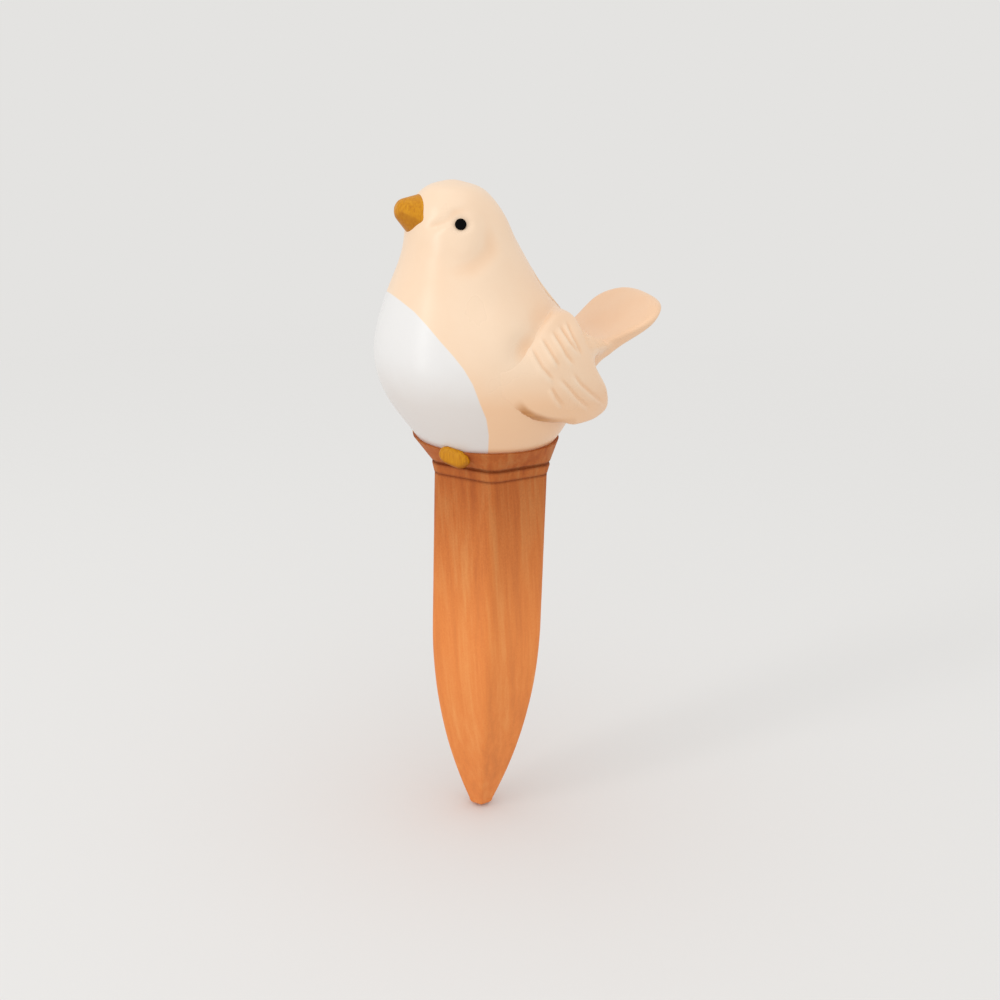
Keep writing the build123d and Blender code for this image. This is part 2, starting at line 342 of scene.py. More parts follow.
@dataclass(frozen=True)
class PaintedClay:
    """Clay painted cold with satin acrylic: peach all over, with a white bib on the breast.

    The film is smooth and a little uneven, so gloss runs in soft stripes. A painted shade makes it darker and
    warmer low down, on the back, out on the tail, in the hollows and in the feather grooves, with a painted
    highlight on the feather crests. In the wings' undercuts the painted shade has the colour of bare clay,
    and the clay is bare inside the bird. Attributes of the mesh say where.
    """

    name: str = "peach_satin_paint_on_clay"
    peach: str = "#f3d6b8"
    # The peach under painted shade
    shaded_warm_peach: str = "#efc39b"
    white: str = "#e6e4e2"
    # The white under painted shade, low on the bib
    shaded_white: str = "#ddd6d1"
    # Bare clay: inside the bird, and as the painted shade in the wings' undercuts
    bare: str = "#c98a48"
    dark_bare_clay_and_shade: str = "#b5763f"
    patch: float = 14.0
    brush_width: float = 0.7
    brush_length: float = 9.0
    edge_blur: float = 0.12
    roughness: tuple[float, float] = (0.2, 0.4)

    def material(self) -> bpy.types.Material:
        """Builds the finish."""
        make = Shading(self.name)
        patches = make.noise(make.place, per_metre(self.patch), 3.0)
        across, along = per_metre(self.brush_width), per_metre(self.brush_length)
        brush_place = make.add("ShaderNodeMapping", {"Vector": make.place, "Scale": (along, along, across)})
        brush = make.noise(brush_place.outputs[0], 1.0, 3.0, 0.6)
        # Random tone patches plus the painted shade that the mesh stores
        tone_and_shade = make.add("ShaderNodeMath", {0: patches, 1: 0.5, 2: make.attribute("warm")},
                          operation="MULTIPLY_ADD").outputs[0]
        peach = make.ramp(tone_and_shade, [(0.22, self.peach), (1.0, self.shaded_warm_peach)])
        white = make.ramp(tone_and_shade, [(0.35, self.white), (1.0, self.shaded_white)])
        in_bib = make.share(make.attribute("bib_mm"), -self.edge_blur, self.edge_blur)
        # Bare clay inside the bird, and painted shade in the wings' undercuts
        clay = make.ramp(brush, [(0.3, self.dark_bare_clay_and_shade), (0.7, self.bare)])
        return make.finish({
            "Base Color": make.mix(make.mix(peach, white, in_bib), clay, make.attribute("bare")),
            "Roughness": make.share(patches, 0.0, 1.0, self.roughness),
            "Normal": make.bump(brush, 0.06, 0.06), "IOR": 1.55})


@dataclass(frozen=True)
class GoldPaint:
    """Ochre gold craft paint, brushed thick on clay, so strokes show as lighter and browner lines.

    On the sides that face down the gold turns brown, a painted shade, which an attribute of the mesh says.
    """

    name: str = "brushed_ochre_gold_paint"
    brown: str = "#b06a06"
    ochre: str = "#ca860a"
    bright: str = "#d8981c"
    # Painted shade: the brown the gold turns to on the faces that look down
    underside_shade_brown: str = "#a35f10"
    stroke_width: float = 0.5
    stroke_length: float = 4.0
    stroke_degrees: float = 35.0

    def material(self) -> bpy.types.Material:
        """Builds the finish."""
        make = Shading(self.name)
        across, along = per_metre(self.stroke_width), per_metre(self.stroke_length)
        stroke_place = make.add("ShaderNodeMapping", {
            "Vector": make.place, "Rotation": (0, math.radians(self.stroke_degrees), 0),
            "Scale": (across, across, along)})
        strokes = make.noise(stroke_place.outputs[0], 1.0, 3.0, 0.6)
        colour = make.ramp(strokes, [(0.2, self.brown), (0.5, self.ochre), (0.8, self.bright)])
        return make.finish({
            "Base Color": make.mix(colour, linear(self.underside_shade_brown), make.attribute("under")),
            "Normal": make.bump(strokes, 0.15, 0.06), "Roughness": 0.42, "IOR": 1.3})


@dataclass(frozen=True)
class SpeckledFinish:
    """A plain finish with fine speckle, for the bead, the cement and the rubber."""

    name: str
    dark: str
    light: str
    speck: float
    roughness: float
    bump: float
    ior: float = 1.5

    def material(self) -> bpy.types.Material:
        """Builds the finish."""
        make = Shading(self.name)
        specks = make.noise(make.place, per_metre(self.speck), 4.0, 0.6)
        return make.finish({
            "Base Color": make.ramp(specks, [(0.35, self.dark), (0.65, self.light)]),
            "Normal": make.bump(specks, 0.3, self.bump), "Roughness": self.roughness, "IOR": self.ior})


# Black enamelled bead: deep black with a soft gloss
BLACK_BEAD = SpeckledFinish("black_enamel_bead", "#020202", "#050505", 0.8, 0.5, 0.01, 1.15)
# Set cement: pale grey and gritty
CEMENT = SpeckledFinish("set_cement", "#93897c", "#b9b0a4", 0.7, 0.9, 0.15)
# Moulded rubber: matt and close in colour to the paint, with a dusty bloom
STOPPER_RUBBER = SpeckledFinish("matt_moulded_rubber", "#eccfb0", "#f3d9bc", 1.6, 0.62, 0.03, 1.52)


def smooth_step(low: float, high: float, value: Array) -> Array:
    """Rises smoothly from 0 at low to 1 at high."""
    share = np.clip((value - low) / (high - low), 0.0, 1.0)
    return share * share * (3 - 2 * share)


def smooth_fall(low: float, high: float, value: Array) -> Array:
    """Falls smoothly from 1 at low to 0 at high."""
    return 1 - smooth_step(low, high, value)


def bell(value: Array, middle: float, width: float) -> Array:
    """A smooth hump of height 1 round a middle."""
    return np.exp(-((value - middle) / width) ** 2)


def distance_to(place: Point, points: Array) -> Array:
    """How far each point is from a place."""
    return np.linalg.norm(points - np.array(place), axis=1)


def to_polyline(points: Array, line: Line) -> tuple[Array, Array, Array]:
    """Measures points against a polyline, in a plane or in space.

    Args:
        points: Points with as many columns as the line's corners.
        line: The polyline's corners.

    Returns:
        Distance to the line, the share of its length passed, and the side as a sign, seen along y in space.
    """
    best = np.full(len(points), np.inf)
    passed = np.zeros(len(points))
    side = np.ones(len(points))
    corners = np.array(line)
    lengths = np.linalg.norm(np.diff(corners, axis=0), axis=1)
    before = np.concatenate([[0.0], np.cumsum(lengths)])
    for i, length in enumerate(lengths):
        run = (corners[i + 1] - corners[i]) / length
        offset = points - corners[i]
        along = np.clip(offset @ run, 0.0, length)
        distance = np.linalg.norm(offset - along[:, None] * run, axis=1)
        nearer = distance < best
        best = np.where(nearer, distance, best)
        passed = np.where(nearer, (before[i] + along) / before[-1], passed)
        side = np.where(nearer, np.sign(run[0] * offset[:, -1] - run[-1] * offset[:, 0]), side)
    return best, passed, side


def values_of(items: Any, name: str, width: int, kind: type = np.float64) -> Array:
    """Reads one property of all vertices or edges as rows of a width.

    Args:
        items: The vertices or edges.
        name: The property's name.
        width: How many numbers each one has.
        kind: The type of the numbers.

    Returns:
        One row for each.
    """
    values = np.zeros(len(items) * width, kind)
    items.foreach_get(name, values)
    return values.reshape(-1, width)


def to_mesh(work: bmesh.types.BMesh, name: str) -> bpy.types.Mesh:
    """Makes a mesh of a working mesh and frees that.

    Args:
        work: The working mesh.
        name: The mesh's name.

    Returns:
        The mesh.
    """
    mesh = bpy.data.meshes.new(name)
    work.to_mesh(mesh)
    work.free()
    return mesh


def to_closed_mesh(work: bmesh.types.BMesh, name: str) -> bpy.types.Mesh:
    """Splits the large faces that close a working mesh, turns all faces outward and makes a mesh of it.

    Args:
        work: The working mesh.
        name: The mesh's name.

    Returns:
        The mesh.
    """
    bmesh.ops.triangulate(work, faces=[f for f in work.faces if len(f.verts) > 4])
    bmesh.ops.recalc_face_normals(work, faces=work.faces)
    return to_mesh(work, name)


class ClayMesh:
    """A working mesh of clay that can be softened, modelled and cut, in millimetres."""

    def __init__(self, name: str, mesh: bpy.types.Mesh) -> None:
        """Puts a mesh in the scene and reads it.

        Args:
            name: The object's name.
            mesh: The mesh, in metres.
        """
        self.object = new_object(name, mesh)
        self.read()

    @classmethod
    def remeshed(cls, name: str, meshes: list[bpy.types.Mesh], voxel: float) -> "ClayMesh":
        """Copies meshes, merges their loose triangles and remeshes them evenly as one body of clay.

        Args:
            name: The object's name.
            meshes: The meshes to copy, in metres.
            voxel: The size of the new mesh's faces.

        Returns:
            The working mesh.
        """
        joined = bmesh.new()
        for source in meshes:
            joined.from_mesh(source)
        bmesh.ops.remove_doubles(joined, verts=joined.verts, dist=LOOSE_GAP * MM)
        mesh = to_mesh(joined, name)
        holder = new_object("remeshed", mesh)
        remesh = holder.modifiers.new("even", "REMESH")
        remesh.mode = "VOXEL"
        remesh.voxel_size = voxel * MM
        graph = bpy.context.evaluated_depsgraph_get()
        even = bpy.data.meshes.new_from_object(holder.evaluated_get(graph))
        bpy.data.objects.remove(holder)
        bpy.data.meshes.remove(mesh)
        return cls(name, even)

    def read(self) -> None:
        """Reads the vertices, their normals and the edges into arrays."""
        mesh = self.object.data
        self.points = values_of(mesh.vertices, "co", 3) / MM
        self.normals = values_of(mesh.vertices, "normal", 3)
        self.edges = values_of(mesh.edges, "vertices", 2, np.int64)

    def write(self) -> None:
        """Writes the points back to the mesh and reads the new normals."""
        self.object.data.vertices.foreach_set("co", (self.points * MM).ravel())
        self.object.data.update()
        self.read()

    def neighbour_mean(self, values: Array) -> Array:
        """The mean of the neighbours' values at each vertex.

        Args:
            values: One row for each vertex.

        Returns:
            The means, in the same shape.
        """
        first, second = self.edges.T
        size = len(values)
        count = np.maximum(np.bincount(self.edges.ravel(), minlength=size), 1)
        columns = [np.bincount(first, column[second], size) + np.bincount(second, column[first], size)
                   for column in values.T]
        return np.stack(columns, 1) / count[:, None]

    def wipe(self, passes: int, weight: Array | float = 1.0) -> None:
        """Draws vertices towards their neighbours, which rounds edges and fills corners.

        Args:
            passes: How often.
            weight: How much each vertex takes part, from 0 to 1.
        """
        share = 0.5 * np.broadcast_to(np.asarray(weight, float), (len(self.points),))[:, None]
        for _ in range(passes):
            self.points = self.points + share * (self.neighbour_mean(self.points) - self.points)
        self.write()

    def push(self, height: Array) -> None:
        """Moves each vertex along its normal by a height."""
        self.points = self.points + self.normals * height[:, None]
        self.write()

    def refine(self, passes: int) -> None:
        """Splits every face in four for finer modelling, and wipes over the new faces.

        Args:
            passes: How often it wipes.
        """
        work = bmesh.new()
        work.from_mesh(self.object.data)
        bmesh.ops.subdivide_edges(work, edges=work.edges, cuts=1, use_grid_fill=True)
        work.to_mesh(self.object.data)
        work.free()
        self.read()
        self.wipe(passes)

    def tree(self) -> BVHTree:
        """A search tree of the mesh as it is now."""
        return BVHTree.FromObject(self.object, bpy.context.evaluated_depsgraph_get())

    def store(self, name: str, values: Array | float) -> None:
        """Stores one number for each vertex as a mesh attribute.

        Args:
            name: The attribute's name.
            values: One number for each vertex, or one for all.
        """
        attribute = self.object.data.attributes.new(name, "FLOAT", "POINT")
        numbers = np.broadcast_to(np.asarray(values, np.float32), (len(self.points),))
        attribute.data.foreach_set("value", np.ascontiguousarray(numbers))

    def patch(self, name: str, keep: Array) -> "ClayMesh":
        """Cuts out the largest island of kept vertices and closes it behind.

        Args:
            name: The new object's name.
            keep: Which vertices stay.

        Returns:
            A closed working mesh of its own.
        """
        work = bmesh.new()
        work.from_mesh(self.object.data)
        bmesh.ops.delete(work, geom=[v for v, kept in zip(work.verts, keep) if not kept], context="VERTS")
        islands: list[set] = []
        seen: set = set()
        for vertex in work.verts:
            if vertex in seen:
                continue
            island, queue = {vertex}, [vertex]
            while queue:
                for edge in queue.pop().link_edges:
                    for other in edge.verts:
                        if other not in island:
                            island.add(other)
                            queue.append(other)
            seen |= island
            islands.append(island)
        largest = max(islands, key=len)
        bmesh.ops.delete(work, geom=[v for v in work.verts if v not in largest], context="VERTS")
        bmesh.ops.holes_fill(work, edges=[e for e in work.edges if e.is_boundary], sides=0)
        return ClayMesh(name, to_closed_mesh(work, name))

    def finish(self, node: str, material: bpy.types.Material, slot: str) -> None:
        """Dresses the mesh and lets it stand for a CAD node.

        Args:
            node: The node that it stands for.
            material: Its finish.
            slot: The record's material slot; not used.
        """
        piece = self.object
        piece.data.name = piece.name
        piece.data.materials.clear()
        piece.data.materials.append(material)
        piece.data.shade_smooth()
        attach(piece, piece_body(node))
        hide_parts(node)
        LOG.info("%s: %d vertices for %s", piece.name, len(piece.data.vertices), node)


def piece_body(node: str) -> str:
    """The body that a CAD node rides on."""
    return frame["nodes"][node]["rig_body"]


@dataclass
class Spike:
    """The porous spike: a rounded hexagon swept along an upright line of stations by Geometry Nodes."""

    half_flats: float = 14.9
    corner: float = 3.0
    turn_degrees: float = 13.0
    straight: float = 43.0
    taper: float = 67.0
    tip_half_flats: float = 3.4
    tip_round: float = 2.54
    wall: float = 4.0
    cavity_end: float = 1.6
    collar_step: float = 0.2
    collar_flare: float = 0.5
    collar_height: float = 2.8
    collar_corner: float = 4.0
    groove_depth: float = 0.6
    groove_height: float = 0.5
    cup_height: float = 8.6
    cup_radius: float = 19.5
    cup_flat: float = 0.6
    cup_centre: float = -1.4
    lip: float = 1.35
    seat_height: float = 2.5
    seat_radius: float = 12.4
    mouth_radius: float = 11.0
    mouth_depth: float = 10.0
    edge_round: float = 0.35
    bevel: float = 0.1
    mouth_bevel: float = 0.25
    row_step: float = 1.0
    cup_rows: int = 14
    seat_rows: int = 4
    hollow_rows: int = 12
    columns: int = 240
    wave_length: float = 11.0
    wave_height: float = 0.12
    merge_gap: float = 0.0005
    stations: list[tuple[float, float, float, float]] = field(default_factory=list)

    def station(self, height: float, half_flats: float, corner: float, centre: float = 0.0) -> None:
        """Adds one section of the sweep.

        Args:
            height: Where it lies.
            half_flats: Half its width over the flats.
            corner: Its corner radius.
            centre: How far it is shifted along x.
        """
        self.stations.append((height, half_flats, corner, centre))

    def share_for(self, half_flats: float) -> float:
        """How far down the taper, from 0 to 1, the flats have drawn in to a width."""
        return math.sqrt(1 - half_flats / self.half_flats)

    def tapered(self, share: float, inset: float) -> tuple[float, float, float]:
        """Height, half width and corner radius of a section down the taper, less a wall."""
        half_flats = self.half_flats * (1 - share ** 2) - inset
        return -self.straight - self.taper * share, half_flats, self.corner * half_flats / self.half_flats

    def lay_out_stations(self) -> None:
        """Lists the sections from the tip up the outside, over the rim and down the inside."""
        end_share = self.share_for(self.tip_half_flats)
        tip_height = self.tapered(end_share, 0)[0]
        for degrees in range(90, 0, -10):
            keep = math.cos(math.radians(degrees))
            drop = self.tip_round * math.sin(math.radians(degrees))
            half_flats = self.tip_half_flats * keep
            self.station(tip_height - drop, half_flats, self.corner * half_flats / self.half_flats)
        taper_rows = int(self.taper * end_share / self.row_step)
        for row in range(taper_rows, 0, -1):
            self.station(*self.tapered(end_share * row / taper_rows, 0))
        straight_rows = int(self.straight / self.row_step)
        for row in range(straight_rows, 0, -1):
            self.station(-self.straight * row / straight_rows, self.half_flats, self.corner)
        self.lay_out_collar()
        self.lay_out_inside()

    def rounded_step(self, height: float, half_flats: float, up: int) -> None:
        """A quarter round over a collar edge, coming out below it or going in above it.

        Args:
            height: The edge's height.
            half_flats: Half the width over the flats outside the round.
            up: 1 below a band and -1 above it.
        """
        for degrees in ((0, 30, 60, 90) if up > 0 else (90, 60, 30, 0)):
            out = self.edge_round * (1 - math.sin(math.radians(degrees)))
            rise = self.edge_round * (1 - math.cos(math.radians(degrees))) * up
            self.station(height + rise, half_flats - out, self.collar_corner)

    def lay_out_collar(self) -> None:
        """The collar band, the groove above it and the flared cup."""
        low = self.half_flats + self.collar_step
        high = low + self.collar_flare
        self.station(0.0, self.half_flats, self.corner)
        self.rounded_step(0.0, low, 1)
        self.rounded_step(self.collar_height, high, -1)
        floor = high - self.groove_depth
        self.station(self.collar_height + self.bevel, floor, self.collar_corner)
        cup_start = self.collar_height + self.groove_height
        self.station(cup_start - self.bevel, floor, self.collar_corner)
        self.rounded_step(cup_start, high, 1)
        rim_corner = self.cup_radius - self.cup_flat
        for row in range(1, self.cup_rows + 1):
            share = row / self.cup_rows
            self.station(cup_start + (self.cup_height - cup_start) * share,
                         high + (self.cup_radius - high) * share,
                         self.collar_corner + (rim_corner - self.collar_corner) * share,
                         self.cup_centre * share)

    def lay_out_inside(self) -> None:
        """The rim, the bird's seat, the mouth and the hollow down to near the tip."""
        inner_rim = self.cup_radius - self.lip
        for row in range(self.seat_rows + 1):
            share = row / self.seat_rows
            radius = inner_rim + (self.seat_radius - inner_rim) * share
            drop = (self.cup_height - self.seat_height) * share
            self.station(self.cup_height - drop, radius, radius, self.cup_centre)
        self.station(self.seat_height - self.mouth_bevel, self.mouth_radius, self.mouth_radius)
        self.station(-self.mouth_depth, self.mouth_radius, self.mouth_radius)
        hollow = self.half_flats - self.wall
        self.station(-self.mouth_depth, hollow, self.corner * hollow / self.half_flats)
        end_share = self.share_for(self.cavity_end + self.wall)
        for row in range(self.hollow_rows + 1):
            self.station(*self.tapered(end_share * row / self.hollow_rows, self.wall))
        self.station(self.tapered(end_share, self.wall)[0], 0.0, 0.0)

    def profile(self) -> bpy.types.Object:
        """The stations as an upright line of vertices that carry their sizes."""
        mesh = bpy.data.meshes.new("spike_profile")
        rows = np.array(self.stations) * MM
        mesh.from_pydata([(centre, 0.0, height) for height, _, _, centre in rows], [], [])
        for name, values in (("half_flats", rows[:, 1]), ("corner", rows[:, 2])):
            attribute = mesh.attributes.new(name, "FLOAT", "POINT")
            attribute.data.foreach_set("value", values.astype(np.float32))
        return new_object("terracotta_spike", mesh)

    def sweep_tree(self) -> bpy.types.NodeTree:
        """Builds the sweep: a grid of rows and columns, set on a rounded hexagon at each row's station.

        Returns:
            The node group, with inputs for the columns, the turn, the unevenness and the finish.
        """
        tree = bpy.data.node_groups.new("swept_rounded_hexagon", "GeometryNodeTree")
        for name, kind in (("Geometry", "Geometry"), ("Columns", "Int"), ("Turn", "Float"),
                           ("Unevenness", "Float"), ("Material", "Material")):
            tree.interface.new_socket(name, in_out="INPUT", socket_type="NodeSocket" + kind)
        tree.interface.new_socket("Geometry", in_out="OUTPUT", socket_type="NodeSocketGeometry")
        given = add_node(tree, "NodeGroupInput").outputs

        def calculate(operation: str, first: Any, second: Any = 0.0) -> Socket:
            """One step of arithmetic on numbers or sockets."""
            return add_node(tree, "ShaderNodeMath", {0: first, 1: second}, operation=operation).outputs[0]

        size = add_node(tree, "GeometryNodeAttributeDomainSize", {"Geometry": given["Geometry"]})
        around = calculate("ADD", given["Columns"], 1.0)
        grid = add_node(tree, "GeometryNodeMeshGrid", {
            "Vertices X": size.outputs["Point Count"], "Vertices Y": around})
        index = add_node(tree, "GeometryNodeInputIndex").outputs[0]
        row = calculate("FLOOR", calculate("DIVIDE", index, around))
        column = calculate("SUBTRACT", index, calculate("MULTIPLY", row, around))
        angle = calculate("MULTIPLY", calculate("DIVIDE", column, given["Columns"]), math.tau)

        def sampled(name: str) -> Socket:
            """The station's size at this row."""
            read = add_node(tree, "GeometryNodeInputNamedAttribute", {"Name": name}, data_type="FLOAT")
            return add_node(tree, "GeometryNodeSampleIndex", {
                "Geometry": given["Geometry"], "Value": read.outputs[0], "Index": row},
                data_type="FLOAT").outputs[0]

        half_flats, corner = sampled("half_flats"), sampled("corner")
        centre = add_node(tree, "GeometryNodeSampleIndex", {
            "Geometry": given["Geometry"], "Value": add_node(tree, "GeometryNodeInputPosition").outputs[0],
            "Index": row}, data_type="FLOAT_VECTOR").outputs[0]
        sixth = math.tau / 6
        from_flat = calculate("SUBTRACT", angle, given["Turn"])
        folded = calculate("FLOORED_MODULO", from_flat, sixth)
        off_flat = calculate("ABSOLUTE", calculate("SUBTRACT", folded, sixth / 2))
        core = calculate("SUBTRACT", half_flats, corner)
        core_reach = calculate("DIVIDE", core, math.cos(sixth / 2))
        off_corner = calculate("SUBTRACT", sixth / 2, off_flat)
        flat_radius = calculate("DIVIDE", half_flats, calculate("COSINE", off_flat))
        bow = calculate("MULTIPLY", core_reach, calculate("SINE", off_corner))
        arc = calculate("SUBTRACT", calculate("POWER", corner, 2.0), calculate("POWER", bow, 2.0))
        arc_radius = calculate("ADD", calculate("MULTIPLY", core_reach, calculate("COSINE", off_corner)),
                               calculate("SQRT", calculate("MAXIMUM", arc, 0.0)))
        off_middle = calculate("MULTIPLY", half_flats, calculate("TANGENT", off_flat))
        flat_end = calculate("MULTIPLY", core, math.tan(sixth / 2))
        on_corner = calculate("GREATER_THAN", off_middle, flat_end)
        radius = add_node(tree, "ShaderNodeMix", {
            "Factor": on_corner, 2: flat_radius, 3: arc_radius}).outputs[0]
        reach = add_node(tree, "ShaderNodeCombineXYZ", {
            "X": calculate("MULTIPLY", radius, calculate("COSINE", angle)),
            "Y": calculate("MULTIPLY", radius, calculate("SINE", angle))}).outputs[0]
        place = add_node(tree, "ShaderNodeVectorMath", {0: centre, 1: reach}).outputs[0]
        set_place = add_node(tree, "GeometryNodeSetPosition", {
            "Geometry": grid.outputs["Mesh"], "Position": place})
        merged = add_node(tree, "GeometryNodeMergeByDistance", {
            "Geometry": set_place.outputs[0], "Distance": self.merge_gap * MM})
        self.add_unevenness(tree, merged.outputs[0], given)
        return tree

    def add_unevenness(self, tree: bpy.types.NodeTree, mesh: Socket, given: Any) -> None:
        """Ends the sweep: a slight hand-wiped waviness, then the finish.

        Args:
            tree: The node group.
            mesh: The swept mesh.
            given: The group's input sockets.
        """
        here = add_node(tree, "GeometryNodeInputPosition").outputs[0]
        waves = add_node(tree, "ShaderNodeTexNoise", {
            "Vector": here, "Scale": per_metre(self.wave_length), "Detail": 2.0})
        centred = add_node(tree, "ShaderNodeMath", {0: waves.outputs["Fac"], 1: 0.5}, operation="SUBTRACT")
        amount = add_node(tree, "ShaderNodeMath", {
            0: centred.outputs[0], 1: given["Unevenness"]}, operation="MULTIPLY")
        normal = add_node(tree, "GeometryNodeInputNormal").outputs[0]
        offset = add_node(tree, "ShaderNodeVectorMath", {
            0: normal, "Scale": amount.outputs[0]}, operation="SCALE")
        wavy = add_node(tree, "GeometryNodeSetPosition", {"Geometry": mesh, "Offset": offset.outputs[0]})
        smooth = add_node(tree, "GeometryNodeSetShadeSmooth", {"Geometry": wavy.outputs[0]})
        real = add_node(tree, "GeometryNodeRealizeInstances", {"Geometry": smooth.outputs[0]})
        dressed = add_node(tree, "GeometryNodeSetMaterial", {
            "Geometry": real.outputs[0], "Material": given["Material"]})
        add_node(tree, "NodeGroupOutput", {"Geometry": dressed.outputs[0]})

    def build(self, finish: bpy.types.Material) -> bpy.types.Object:
        """Sweeps the spike and dresses it.

        Args:
            finish: The terracotta.

        Returns:
            The finished spike.
        """
        self.lay_out_stations()
        piece = self.profile()
        tree = self.sweep_tree()
        modifier = piece.modifiers.new("sweep", "NODES")
        modifier.node_group = tree
        values = {"Columns": self.columns, "Turn": math.radians(self.turn_degrees),
                  "Unevenness": self.wave_height * MM, "Material": finish}
        for item in tree.interface.items_tree:
            if item.in_out == "INPUT" and item.name in values:
                modifier[item.identifier] = values[item.name]
        graph = bpy.context.evaluated_depsgraph_get()
        mesh = bpy.data.meshes.new_from_object(piece.evaluated_get(graph))
        piece.modifiers.clear()
        old = piece.data
        piece.data = mesh
        bpy.data.meshes.remove(old)
        mesh.name = piece.name
        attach(piece, "root")
        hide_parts("spike_shell")
        LOG.info("%s: %d vertices", piece.name, len(mesh.vertices))
        return piece


@dataclass(frozen=True)
class Dent:
    """A soft round hollow or swelling of the clay.

    The place is given on the bird's left side and holds for both sides.
    """

    place: Point
    radius: float
    height: float

    def heights(self, points: Array) -> Array:
        """How far it lifts each point."""
        return self.height * smooth_fall(0.0, self.radius, distance_to(self.place, points))


@dataclass(frozen=True)
class Crease:
    """A soft groove or ridge along a polyline on the bird's left side, which holds for both sides."""

    line: tuple[Point, ...]
    width: float
    height: float

    def heights(self, points: Array) -> Array:
        """How far it lifts each point, fading at both ends."""
        distance, passed, _ = to_polyline(points, self.line)
        fade = smooth_step(-0.15, 0.3, passed) * smooth_fall(0.7, 1.15, passed)
        return self.height * fade * smooth_fall(0.0, self.width, distance)


def left_side(points: Array) -> Array:
    """Mirrors points to the bird's left side."""
    return np.stack([points[:, 0], -np.abs(points[:, 1]), points[:, 2]], 1)


def gap_to(node: str, points: Array, limit: float) -> Array:
    """Measures how far points are from a CAD node.

    Args:
        node: The CAD node.
        points: The points, in millimetres.
        limit: Distances above this aren't told apart.

    Returns:
        The distances, at most the limit.
    """
    piece = frame["nodes"][node]
    tree = BVHTree.FromObject(piece, bpy.context.evaluated_depsgraph_get())
    corners = np.array([corner[:] for corner in piece.bound_box]) / MM
    near = np.all((points > corners.min(0) - limit) & (points < corners.max(0) + limit), axis=1)
    gaps = np.full(len(points), limit)
    for i in np.flatnonzero(near):
        distance = tree.find_nearest(Vector(points[i] * MM), limit * MM)[3]
        if distance is not None:
            gaps[i] = distance / MM
    return gaps


# Where the painted shade lies on the peach: below a height, towards the back and out on the tail
SHADE_BELOW: Fade = (14.0, 36.0)
SHADE_BACK: Fade = (-4.0, 10.0)
SHADE_TAIL: Fade = (20.0, 34.0)
SHADE_BEHIND = 0.3


def painted_shade_by_place(points: Array) -> Array:
    """Where a painted shade darkens and warms the peach: low on the body, on the back and out on the tail.

    Args:
        points: Points on the painted clay.

    Returns:
        The painted shade, from 0 to 1.
    """
    x, _, z = points.T
    behind = SHADE_BEHIND * smooth_step(*SHADE_BACK, x) + SHADE_BEHIND * smooth_step(*SHADE_TAIL, x)
    return np.maximum(smooth_fall(*SHADE_BELOW, z), behind)


def hull_mesh(points: list[Point]) -> bpy.types.Mesh:
    """The convex hull of some points, as a mesh in metres.

    Args:
        points: The points, in millimetres.

    Returns:
        The hull.
    """
    work = bmesh.new()
    for point in points:
        work.verts.new(Vector(point) * MM)
    bmesh.ops.convex_hull(work, input=work.verts)
    return to_mesh(work, "hull")


